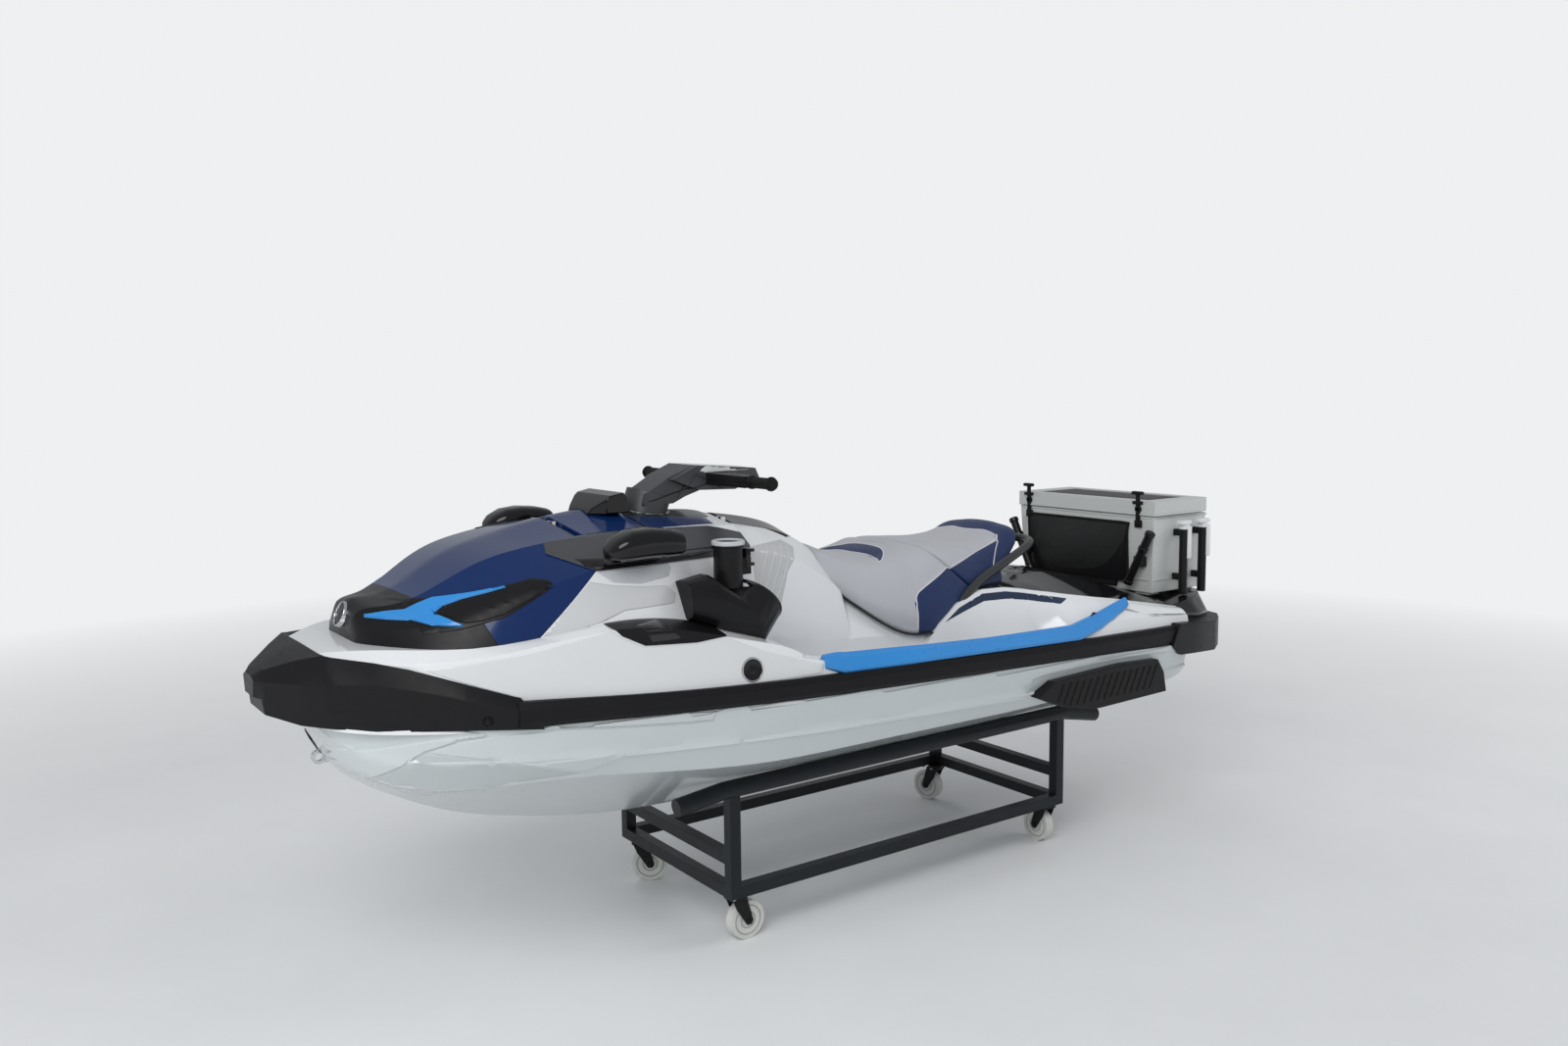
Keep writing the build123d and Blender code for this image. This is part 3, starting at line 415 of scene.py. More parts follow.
def soften(piece, angle, radius):
    """Smooth shading up to an angle, then rounded edges where a radius is given."""
    modifier = piece.modifiers.new("soft shading", "NODES")
    modifier.node_group = soft_shading_group()
    modifier[modifier.node_group.interface.items_tree["Angle"].identifier] = math.radians(angle)
    if radius:
        bevel = piece.modifiers.new("rounded edges", "BEVEL")
        bevel.width = radius
        bevel.segments = 4
        bevel.limit_method = "ANGLE"
        bevel.angle_limit = math.radians(35)


def copied(name, node, material, angle):
    """A copy of a CAD node that takes its place and may be reshaped."""
    made = bpy.data.objects.new(name, NODES[node].data.copy())
    bpy.context.scene.collection.objects.link(made)
    dress(made, node, material, angle)
    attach(made, NODES[node]["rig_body"])
    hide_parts(node)
    return made


def piece(name, points, faces, material, like, sharp=35.0):
    """A mesh that rides with a CAD node and is smooth between its sharper edges."""
    mesh = bpy.data.meshes.new(name)
    mesh.from_pydata([tuple(point) for point in points], [], faces)
    mesh.materials.append(MATERIALS[material])
    mesh.shade_smooth()
    mesh.set_sharp_from_angle(angle=math.radians(sharp))
    made = bpy.data.objects.new(name, mesh)
    bpy.context.scene.collection.objects.link(made)
    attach(made, NODES[like]["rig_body"])
    return made


def skin(rings, closed=True, ends=True):
    """Points and faces of a skin over rings that have the same number of points."""
    count = len(rings[0])
    points = [point for ring in rings for point in ring]
    faces = []
    for i in range(len(rings) - 1):
        for j in range(count if closed else count - 1):
            a, b = i * count + j, i * count + (j + 1) % count
            faces.append((a, b, b + count, a + count))
    if ends:
        faces.append(tuple(reversed(range(count))))
        faces.append(tuple(range((len(rings) - 1) * count, len(rings) * count)))
    return points, faces


def joined(parts):
    """Points and faces of several bodies as one."""
    points, faces = [], []
    for more_points, more_faces in parts:
        start = len(points)
        points.extend(more_points)
        faces.extend(tuple(start + i for i in face) for face in more_faces)
    return points, faces


def across(direction):
    """Two unit vectors square to a direction and to each other."""
    direction = Vector(direction).normalized()
    helper = Vector((0, 0, 1)) if abs(direction.z) < 0.9 else Vector((1, 0, 0))
    first = direction.cross(helper).normalized()
    return first, direction.cross(first)


def turned(profile, centre, axis, sides=32):
    """A profile of (distance along the axis, radius) turned about the axis."""
    axis = Vector(axis).normalized()
    first, second = across(axis)
    rings = []
    for along, radius in profile:
        middle = Vector(centre) + axis * along
        rings.append([middle + (first * math.cos(a) + second * math.sin(a)) * radius
                      for a in (2 * math.pi * i / sides for i in range(sides))])
    return skin(rings)


def tube(path, radius, sides=10, closed=False):
    """A round tube along a path of points."""
    path = [Vector(point) for point in path]
    rings, first = [], None
    for i, point in enumerate(path):
        before = path[i - 1] if i or closed else path[0]
        after = path[(i + 1) % len(path)] if i + 1 < len(path) or closed else path[-1]
        ahead = (after - before).normalized()
        if first is None:
            first, _ = across(ahead)
        first = (first - ahead * first.dot(ahead)).normalized()
        second = ahead.cross(first)
        rings.append([point + (first * math.cos(a) + second * math.sin(a)) * radius
                      for a in (2 * math.pi * k / sides for k in range(sides))])
    if closed:
        rings.append(rings[0])
    return skin(rings, ends=not closed)


def cushioned_block(centre, size, bevel=0.002):
    """A block with rounded edges."""
    shape = bmesh.new()
    bmesh.ops.create_cube(shape, size=1.0)
    bmesh.ops.scale(shape, vec=Vector(size), verts=shape.verts)
    bmesh.ops.bevel(shape, geom=list(shape.edges), offset=bevel, segments=2, profile=0.5, affect="EDGES")
    bmesh.ops.translate(shape, vec=Vector(centre), verts=shape.verts)
    shape.verts.index_update()
    points = [v.co.copy() for v in shape.verts]
    faces = [tuple(v.index for v in face.verts) for face in shape.faces]
    shape.free()
    return points, faces


def tree_of(shown):
    """A search tree over the meshes of some objects."""
    return BVHTree.FromPolygons(*joined([([v.co.copy() for v in one.data.vertices],
                                          [tuple(p.vertices) for p in one.data.polygons]) for one in shown]))


def skin_of(nodes):
    """A search tree over some nodes or pieces, made once."""
    key = tuple(nodes)
    if key not in SKINS:
        SKINS[key] = tree_of([NODES[node] if node in NODES else bpy.data.objects[node] for node in nodes])
    return SKINS[key]


def met(tree, origin, ray):
    """Where a ray meets a skin, and the normal there that faces the ray."""
    hit, normal, _, _ = tree.ray_cast(origin, ray)
    if hit is not None and normal.dot(ray) > 0:
        normal = -normal
    return hit, normal


def met_from_side(tree, side, station, z):
    """Where a skin is met from one side at a station and a height, and the normal there."""
    return met(tree, Vector((at(station), OUTSIDE_Y * side, z)), Vector((0, -side, 0)))


def sided(body, side):
    """Points and faces of a body drawn for one side, its faces turned to look outwards."""
    points, faces = body
    return points, [face[::side] for face in faces]


def row_at(table, station):
    """The columns of a table after its first, each read at a station between its rows."""
    stations, *columns = zip(*table)
    return [np.interp(station, stations, column) for column in columns]


def curve(points, pitch, closed=False):
    """Points spaced about a pitch apart on straight runs between the given ones."""
    points = [Vector(point) for point in points]
    ends = points[1:] + (points[:1] if closed else [])
    out = []
    for a, b in zip(points, ends):
        steps = max(1, round((b - a).length / pitch))
        out.extend(a.lerp(b, i / steps) for i in range(steps))
    if not closed:
        out.append(points[-1])
    return out


def smooth_point(a, b, c, d, t):
    """The place at a share t between b and c on a smooth line through a, b, c and d."""
    bend, twist = 2 * a - 5 * b + 4 * c - d, 3 * b - a - 3 * c + d
    return 0.5 * (2 * b + (c - a) * t + bend * t * t + twist * t ** 3)


def smooth_curve(points, pitch):
    """Points about a pitch apart on a smooth line through the given ones."""
    points = [Vector(point) for point in points]
    guards = [points[0] * 2 - points[1]] + points + [points[-1] * 2 - points[-2]]
    out = []
    for a, b, c, d in zip(guards, guards[1:], guards[2:], guards[3:]):
        steps = max(1, round((c - b).length / pitch))
        for i in range(steps):
            out.append(smooth_point(a, b, c, d, i / steps))
    out.append(points[-1])
    return out


def away_from(points, line, closed=False):
    """How far each of an array of points lies from a line of straight runs."""
    line = np.array([tuple(point) for point in line])
    ends = np.roll(line, -1, axis=0) if closed else line[1:]
    starts = line if closed else line[:-1]
    nearest = np.full(len(points), 1e9)
    for a, b in zip(starts, ends):
        run = b - a
        share = np.clip(((points - a) @ run) / max(run @ run, 1e-12), 0, 1)
        nearest = np.minimum(nearest, np.linalg.norm(points - (a + share[:, None] * run), axis=1))
    return nearest


def within(points, outline):
    """Which of an array of flat points lie inside an outline."""
    outline = np.array([tuple(point) for point in outline])
    inside = np.zeros(len(points), bool)
    for (x0, y0), (x1, y1) in zip(outline, np.roll(outline, -1, axis=0)):
        crosses = (y0 > points[:, 1]) != (y1 > points[:, 1])
        reach = (x1 - x0) * (points[:, 1] - y0) / ((y1 - y0) or 1e-12) + x0
        inside ^= crosses & (points[:, 0] < reach)
    return inside


def inlay(name, onto, outline, height, material, like, view="side", lip=0.003, pitch=0.012, sides=(-1, 1)):
    """A raised face laid on the skin of some nodes.
    Its outline is drawn in side view, as (station, z), or in plan, as (station, y), in metres. Its border
    lies just under the skin, and its inside stands proud by the height."""
    tree = skin_of(onto)
    border = [Vector(point[:2]) for point in curve([(*p, 0) for p in outline], pitch, closed=True)]
    flat = np.array([tuple(point) for point in border])
    low, high = flat.min(axis=0), flat.max(axis=0)
    across_x, across_y = (np.arange(low[k], high[k], pitch) for k in (0, 1))
    grid = np.array([(x, y) for x in across_x for y in across_y])
    run = np.roll(flat, -1, axis=0) - np.roll(flat, 1, axis=0)
    square = np.stack([-run[:, 1], run[:, 0]], axis=1)
    square /= np.maximum(np.linalg.norm(square, axis=1), 1e-9)[:, None]
    rings = [flat + square * lip * way for way in (-1, 1)]
    inner = np.concatenate([rings[0], rings[1], grid])
    away = away_from(inner, outline, closed=True)
    least = np.concatenate([np.full(len(flat) * 2, 0.8 * lip), np.full(len(grid), lip + 0.35 * pitch)])
    inner = inner[within(inner, outline) & (away > least)]
    points = border + [Vector(point) for point in inner.tolist()]
    edges = [(i, (i + 1) % len(border)) for i in range(len(border))]
    points, _, faces, _, _, _ = geometry.delaunay_2d_cdt(points, edges, [], 1, 0.00001)
    away = away_from(np.array([tuple(point) for point in points]), outline, closed=True)
    bodies = []
    for side in sides:
        placed = []
        for point, distance in zip(points, away):
            if view == "side":
                hit, normal = met_from_side(tree, side, *point)
            else:
                hit, normal = met(tree, spot(point[0], point[1] * side, ABOVE_Z), Vector((0, 0, -1)))
            share = min(1.0, distance / lip)
            placed.append(None if hit is None else hit + normal * (height * share * (2 - share) - 0.0004))
        kept = [face for face in faces if all(placed[i] is not None for i in face)]
        used = sorted({i for face in kept for i in face})
        order = {old: new for new, old in enumerate(used)}
        bodies.append(([placed[i] for i in used],
                       [tuple(order[i] for i in face[::-side]) for face in kept]))
    return piece(name, *joined(bodies), material, like, sharp=28.0)


def mirrored(points):
    return [Vector((point[0], -point[1], point[2])) for point in points]


def part_box(node, side=0):
    """Lowest and highest corners of a node, or of its part on one side."""
    points = [v.co for v in NODES[node].data.vertices if not side or v.co.y * side > 0]
    return (Vector([min(p[k] for p in points) for k in range(3)]),
            Vector([max(p[k] for p in points) for k in range(3)]))


def bolt(centre, axis, radius, height=0.003):
    """A hexagon head on a washer."""
    hexagon = [(height * 0.3, radius), (height * 1.8, radius), (height * 2.2, radius * 0.86)]
    washer = [(0, radius * 1.35), (height * 0.5, radius * 1.35), (height * 0.6, radius * 1.2)]
    return joined([turned(washer, centre, axis, 20), turned(hexagon, centre, axis, 6)])


def wheel_axis(corner):
    joint = next(j for j in frame["record"]["behaviour"]["joints"] if j["name"] == f"roll_{corner}")
    return Vector(joint["axis"])


def ridge_on(nodes, side, start, end, radius):
    """A fine bead laid on one side of some nodes between two points given as station and z."""
    tree = skin_of(nodes)
    path = []
    for t in np.linspace(0, 1, 16):
        station, z = start[0] + t * (end[0] - start[0]), start[1] + t * (end[1] - start[1])
        hit, _ = met_from_side(tree, side, station, z)
        if hit is not None:
            path.append(hit)
    if len(path) < 4:
        raise RuntimeError("a bead found no skin to lie on")
    return tube(path, radius, 6)


# finish and the sharpest angle in degrees that still shades smooth, then the nodes
CAD_FINISHES = {
    ("hull_gelcoat", 12.0): ["hull"],
    ("engine_grey", 25.0): ["engine"],
    ("hood_navy", 18.0): ["nose_hood", "front_lid"],
    ("cowl_black", 18.0): ["nose_cowl"],
    ("accent_blue", 18.0): ["hood_trim"],
    ("gloss_black", 25.0): ["gauge_hood", "rear_deck", "mirrors", "glove_lid"],
    # the deck's finish holds painted shade in its lid gaps
    ("deck_gelcoat_gap_shade", 16.0): ["deck"],
    ("deck_gelcoat", 16.0): ["footwell_deck"],
    ("bumper_black", 18.0): ["front_bumper"],
    ("rail_black", 25.0): ["rub_rail"],
    ("bumper_black", 25.0): ["rear_bumper", "sponsons"],
    ("vinyl_grey", 25.0): ["seat_front", "seat_rear"],
    ("steering_grey", 25.0): ["steering_neck"],
    ("cowl_black", 25.0): ["handlebar", "levers", "side_cleats"],
    ("grip_rubber", 40.0): ["grips"],
    ("console_graphite", 18.0): ["console_panels"],
    ("cowl_black", 50.0): ["speaker_pods"],
    ("cowl_black", 40.0): ["cup_holder", "cooler_fittings"],
    ("accent_blue", 25.0): ["gunwale_trim"],
    ("mat_foam", 25.0): ["floor_mats"],
    ("bright_steel", 40.0): ["bow_eye", "impeller"],
    ("gloss_black", 40.0): ["grab_handle"],
    ("cooler_shell", 25.0): ["cooler_tub"],
    ("cooler_lid", 25.0): ["cooler_lid"],
    ("cast_alloy", 40.0): ["jet_pump", "nozzle"],
    ("cast_alloy", 25.0): ["reverse_gate", "ride_plate"],
    ("cradle_steel", 25.0): ["cradle_frame"],
}
# radius in metres that softens the edges of a node
ROUNDED = {
    "mirrors": 0.012, "gauge_hood": 0.010, "steering_neck": 0.007, "rear_bumper": 0.010, "cooler_lid": 0.005,
    "cooler_tub": 0.008, "sponsons": 0.006, "glove_lid": 0.004, "front_bumper": 0.005,
}
# angle in degrees above which an edge of a caster stays sharp
SHARP = 25.0
CORNERS = ["front_port", "front_starboard", "rear_port", "rear_starboard"]


# Seats

# station, then y and z of the seat's base, side and shoulder, and z of its middle, in metres
SEAT = np.array([
    (1.800, 0.150, 1.110, 0.160, 1.140, 0.120, 1.196, 1.222),
    (1.900, 0.236, 1.010, 0.236, 1.060, 0.180, 1.150, 1.178),
    (2.045, 0.318, 0.912, 0.305, 1.000, 0.215, 1.130, 1.157),
    (2.220, 0.338, 0.902, 0.318, 1.010, 0.225, 1.160, 1.189),
    (2.370, 0.318, 0.935, 0.302, 1.030, 0.215, 1.155, 1.183),
    (2.516, 0.282, 0.990, 0.272, 1.060, 0.205, 1.152, 1.181),
    (2.640, 0.255, 1.040, 0.250, 1.090, 0.195, 1.172, 1.198),
    (2.724, 0.235, 1.065, 0.235, 1.115, 0.190, 1.198, 1.227),
    (2.830, 0.215, 1.080, 0.212, 1.110, 0.172, 1.165, 1.192),
])
# Lines of the seats on one side, as station, distance from the middle and z
FRONT_SEAM = [(2.178, 0.0, 1.183), (2.179, 0.030, 1.182), (2.174, 0.094, 1.173), (2.145, 0.170, 1.158),
              (2.115, 0.238, 1.121), (2.104, 0.269, 1.070), (2.092, 0.299, 1.020), (2.082, 0.314, 0.986),
              (2.061, 0.317, 0.930)]
REAR_SEAM = [(2.192, 0.0, 1.184), (2.190, 0.040, 1.182), (2.184, 0.117, 1.171), (2.156, 0.200, 1.153),
             (2.133, 0.254, 1.097), (2.121, 0.288, 1.041), (2.108, 0.311, 1.002), (2.097, 0.318, 0.974),
             (2.084, 0.323, 0.925)]
FOOT_PANEL = [(2.103, 0.324, 0.915), (2.111, 0.318, 1.007), (2.129, 0.300, 1.034), (2.167, 0.289, 1.051),
              (2.259, 0.271, 1.088), (2.300, 0.262, 1.105)]
REAR_PANEL = [(2.270, 0.270, 1.090), (2.295, 0.264, 1.096), (2.378, 0.243, 1.115), (2.495, 0.214, 1.143),
              (2.624, 0.180, 1.170), (2.650, 0.150, 1.184), (2.660, 0.093, 1.193), (2.650, 0.040, 1.197),
              (2.646, 0.0, 1.198)]
BOLSTER_SEAM = [(2.655, 0.160, 1.182), (2.625, 0.188, 1.160), (2.591, 0.213, 1.140), (2.557, 0.237, 1.106),
                (2.528, 0.262, 1.070)]
# first guess of the seats' height, front and inner border of the panel over the heel
SEAT_TOP_Z, HEEL_FRONT, HEEL_INNER_Y = 1.1, 2.105, 0.2
# padding between the seams, how far from a seam it reaches, rolled edge of the ends and tuck of the base
PUFF, PUFF_REACH, END_ROLL, TUCK = 0.0035, 0.035, 0.014, 0.010
# share by which the closed ends are drawn towards their middle, and half the gap between the seats
CAP, SEAT_GAP = 0.45, 0.003
CRESCENT_FRONT = [(0.0, 2.070), (0.083, 2.077), (0.135, 2.068), (0.197, 2.044)]
CRESCENT_REAR = [(0.0, 2.146), (0.065, 2.143), (0.104, 2.133), (0.148, 2.102), (0.180, 2.066),
                 (0.197, 2.044)]


def seat_place(station, around):
    """Points of the seats' skin. around runs from 0 at the port base over the top to 1 at the other base."""
    rows = SEAT[:, 0]
    columns = []
    for k in range(1, SEAT.shape[1]):
        slopes = np.gradient(SEAT[:, k], rows)
        i = np.clip(np.searchsorted(rows, station) - 1, 0, len(rows) - 2)
        width = rows[i + 1] - rows[i]
        t = np.clip((station - rows[i]) / width, -0.2, 1.2)
        a, b = SEAT[i, k], SEAT[i + 1, k]
        columns.append(a * (2 * t ** 3 - 3 * t ** 2 + 1) + b * (3 * t ** 2 - 2 * t ** 3)
                       + width * (slopes[i] * (t ** 3 - 2 * t ** 2 + t) + slopes[i + 1] * (t ** 3 - t ** 2)))
    base_y, base_z, side_y, side_z, shoulder_y, shoulder_z, middle_z = columns
    share = 1 - np.abs(around * 2 - 1)
    knots_y = [base_y, side_y, shoulder_y, shoulder_y * 0.5, 0 * base_y]
    crown = shoulder_z + (middle_z - shoulder_z) * 0.78
    knots_z = [base_z, side_z, shoulder_z, crown, middle_z]
    spread = np.array([0.0, 0.24, 0.58, 0.80, 1.0])
    guards_y = [2 * knots_y[0] - knots_y[1]] + knots_y + [-knots_y[3]]
    guards_z = [2 * knots_z[0] - knots_z[1]] + knots_z + [knots_z[3]]
    y, z = 0 * station, 0 * station
    for k in range(4):
        t = (share - spread[k]) / (spread[k + 1] - spread[k])
        chosen = (t >= 0) & (t <= 1)
        for knots, out in ((guards_y, y), (guards_z, z)):
            out[chosen] = smooth_point(*knots[k:k + 4], t)[chosen]
    return np.stack([station, np.where(around < 0.5, -1.0, 1.0) * y, z], axis=1)


def seat_mesh(name, node, first, last, lines, navy, rows, columns):
    """One half of the seat: a padded skin between two slanted ends, pulled in along its seams.
    first and last give the station of an end at a height. navy says how far inside the navy a point is."""
    along, around = np.meshgrid(np.linspace(0, 1, rows), np.linspace(0, 1, columns), indexing="ij")
    along, around = along.ravel(), around.ravel()
    height = SEAT_TOP_Z + 0 * along
    station = first(height) + along * (last(height) - first(height))
    for _ in range(12):
        height = seat_place(station, around)[:, 2]
        station = first(height) + along * (last(height) - first(height))
    skin_points = seat_place(station, around)
    grid = skin_points.reshape(rows, columns, 3)
    down = np.gradient(grid, axis=0)
    over = np.gradient(grid, axis=1)
    normals = np.cross(over, down)
    normals /= np.maximum(np.linalg.norm(normals, axis=2), 1e-9)[:, :, None]
    if normals[rows // 2, columns // 2, 2] < 0:
        normals = -normals
    normals = normals.reshape(-1, 3)
    folded = np.stack([skin_points[:, 0], np.abs(skin_points[:, 1]), skin_points[:, 2]], axis=1)
    near = np.full(len(folded), 1e9)
    push = np.zeros(len(folded))
    for line, depth, width in lines:
        distance = away_from(folded, line)
        near = np.minimum(near, distance)
        push -= depth * np.exp(-(distance / width) ** 2)
    ends = np.minimum(along, 1 - along) * np.ptp(station)
    base = np.minimum(around, 1 - around) * 1.1
    near = np.minimum(near, np.minimum(ends, base + 0.01))
    push += PUFF * (1 - np.exp(-(near / PUFF_REACH) ** 2))
    push -= END_ROLL * (1 - np.sqrt(np.clip(1 - np.clip(1 - ends / END_ROLL, 0, 1) ** 2, 0, 1)))
    push -= TUCK * np.clip(1 - base / 0.02, 0, 1) ** 2
    placed = skin_points + normals * push[:, None]
    inside = navy(folded)
    points = [(at(x), y, z) for x, y, z in placed]
    faces = [(a, a + columns, a + columns + 1, a + 1)
             for i in range(rows - 1) for a in range(i * columns, (i + 1) * columns - 1)]
    for row, turn in ((0, 1), (rows - 1, -1)):
        ring = list(range(row * columns, (row + 1) * columns))
        centre = np.mean([points[i] for i in ring], axis=0)
        start = len(points)
        points.extend(tuple(np.array(points[i]) * (1 - CAP) + centre * CAP) for i in ring)
        inside = np.concatenate([inside, inside[ring]])
        for j in range(columns - 1):
            faces.append((ring[j], ring[j + 1], start + j + 1, start + j)[::turn])
        faces.append(tuple(range(start, start + columns))[::turn])
    for start in range(0, (rows - 1) * columns, columns):
        faces.append((start, start + columns - 1, start + 2 * columns - 1, start + columns))
    made = piece(name, points, faces, "seat_vinyl", node, sharp=60.0)
    share = made.data.attributes.new("navy", "FLOAT", "POINT")
    share.data.foreach_set("value", inside)
    shape = bmesh.new()
    shape.from_mesh(made.data)
    bmesh.ops.recalc_face_normals(shape, faces=shape.faces)
    shape.to_mesh(made.data)
    shape.free()
    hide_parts(node)
    return made


def read_off(line, value, given=0, sought=2):
    """One coordinate of a line where another has a value."""
    pairs = sorted((point[given], point[sought]) for point in line)
    return np.interp(value, [pair[0] for pair in pairs], [pair[1] for pair in pairs])


def front_navy(folded):
    """How far inside the crescent behind the rider's dip or the panel over the heel each point is."""
    station, side, height = folded.T
    behind, ahead = read_off(CRESCENT_FRONT, side, 0, 1), read_off(CRESCENT_REAR, side, 0, 1)
    crescent = np.minimum(np.minimum(station - behind, ahead - station), CRESCENT_FRONT[-1][0] - side)
    panel = np.minimum(read_off(FOOT_PANEL[1:], station) - height, station - HEEL_FRONT)
    return np.maximum(crescent, np.where(side > HEEL_INNER_Y, panel, -0.05))


def rear_navy(folded):
    """How far inside the side panels or the bolster at the back each point is."""
    station, side, height = folded.T
    panel, bolster = read_off(REAR_PANEL[:6], station), read_off(REAR_PANEL[4:], side, 1, 0)
    return np.maximum(panel - height, station - bolster)


def split_station(height):
    return np.interp(-height, [-1.30, -1.19, -0.88], [2.200, 2.226, 2.540])


def tail_station(height):
    return np.interp(height, [1.074, 1.112, 1.160, 1.216, 1.300], [2.575, 2.640, 2.700, 2.736, 2.750])


def nose_station(height):
    return 1.806 + 0 * height


def welt(name, node, seat, lines, radius=0.0022):
    """Light piping along lines of a seat, on both sides."""
    tree = tree_of([seat])
    bodies = []
    for line in lines:
        snapped = []
        for station, y, z in smooth_curve(line, 0.008):
            place, normal, _, _ = tree.find_nearest(spot(station, -y, z))
            snapped.append(place + normal * radius * 0.25)
        bodies += [tube(snapped, radius, 8), tube(mirrored(snapped), radius, 8)]
    return piece(name, *joined(bodies), "piping_white", node)


def make_seats():
    """The padded front and rear seat with their piping, lower edge and rows of stitches."""
    # line, depth and half width of each groove
    grooves = [(FRONT_SEAM, 0.004, 0.004), (REAR_SEAM, 0.004, 0.004), (FOOT_PANEL, 0.002, 0.004),
               ([(s, y, 1.155) for y, s in CRESCENT_FRONT], 0.005, 0.016)]
    front = seat_mesh("front_seat_cushion", "seat_front", nose_station,
                      lambda z: split_station(z) - SEAT_GAP, grooves, front_navy, 170, 150)
    grooves = [(REAR_PANEL, 0.004, 0.006), (BOLSTER_SEAM, 0.004, 0.005)]
    rear = seat_mesh("rear_seat_cushion", "seat_rear", lambda z: split_station(z) + SEAT_GAP,
                     tail_station, grooves, rear_navy, 150, 150)
    crescents = [[(s, y, 1.16) for y, s in line] for line in (CRESCENT_FRONT, CRESCENT_REAR)]
    welt("front_seat_piping", "seat_front", front, [FOOT_PANEL] + crescents)
    welt("rear_seat_piping", "seat_rear", rear, [REAR_PANEL, BOLSTER_SEAM], 0.002)
    edge = smooth_curve([(at(row[0]), -row[1] - 0.002, row[2] - 0.002) for row in SEAT[:7]], 0.012)
    edges = [tube(line, 0.0045, 8) for line in (edge, mirrored(edge))]
    piece("seat_lower_edge", *joined(edges), "recess_black", "seat_front")
    stitches = []
    tree = tree_of([rear])
    for start, low in ((2.350, 0.0), (2.362, -0.016), (2.452, 0.010), (2.464, -0.006), (2.536, 0.020),
                       (2.548, 0.002)):
        snapped = []
        for i in range(6):
            station = start + i * 0.008
            place = spot(station, -0.26, 1.080 + (station - 2.35) * 0.24 + low + i * 0.0022)
            snapped.append(tree.find_nearest(place)[0])
        stitches += [tube(snapped, 0.0013, 6), tube(mirrored(snapped), 0.0013, 6)]
    piece("rear_seat_dashes", *joined(stitches), "vinyl_navy", "seat_rear")


# Faces, trims and fittings of the craft

# station, then y and z of the foot and of the top edge of the white wall inside each haunch, and z where the
# black deck meets the middle
HAUNCH = [
    (2.040, 0.342, 0.742, 0.340, 0.752, 0.760),
    (2.110, 0.350, 0.744, 0.346, 0.835, 0.850),
    (2.190, 0.362, 0.745, 0.352, 0.925, 0.950),
    (2.280, 0.385, 0.745, 0.345, 0.985, 1.000),
    (2.400, 0.425, 0.745, 0.336, 1.022, 1.034),
    (2.500, 0.455, 0.745, 0.350, 1.022, 1.038),
    (2.560, 0.475, 0.745, 0.372, 1.014, 1.040),
    (2.600, 0.505, 0.800, 0.395, 1.006, 1.040),
    (2.660, 0.540, 0.880, 0.425, 0.997, 1.038),
    (2.720, 0.538, 0.900, 0.446, 0.986, 1.036),
    (2.831, 0.530, 0.925, 0.478, 0.968, 1.036),
    (2.945, 0.522, 0.925, 0.490, 0.950, 1.020),
    (3.050, 0.540, 0.890, 0.497, 0.930, 0.993),
    (3.293, 0.548, 0.866, 0.500, 0.886, 0.922),
]
# station from which the top is black, and the inner border of that black
BLACK_FROM, DECK_INNER_Y = 2.400, 0.22
# station, then y and z of the trim's outer and inner edge
TRIM = [
    (1.500, 0.588, 0.918, 0.560, 0.928), (1.580, 0.592, 0.888, 0.556, 0.924),
    (1.620, 0.592, 0.886, 0.556, 0.922), (1.900, 0.601, 0.884, 0.556, 0.908),
    (2.300, 0.603, 0.872, 0.556, 0.899), (2.620, 0.599, 0.861, 0.552, 0.893),
    (2.740, 0.589, 0.884, 0.546, 0.914), (2.860, 0.566, 0.918, 0.538, 0.940),
    (2.940, 0.545, 0.938, 0.530, 0.948),
]


def pressed(name, node, material, angle):
    """A copy of a CAD node with its haunches brought down to the line of the photographed ones."""
    made = copied(name, node, material, angle)
    for vertex in made.data.vertices:
        station, side = vertex.co.x + BOW_X, abs(vertex.co.y)
        if 2.58 < station < 3.30 and side > 0.2:
            foot_y, foot_z, top_y, top_z, inner_z = row_at(HAUNCH, station)
            limit = np.interp(side, [DECK_INNER_Y, top_y, foot_y, 0.62], [inner_z, top_z, foot_z, foot_z])
            vertex.co.z = min(vertex.co.z, limit - 0.005)
    return made


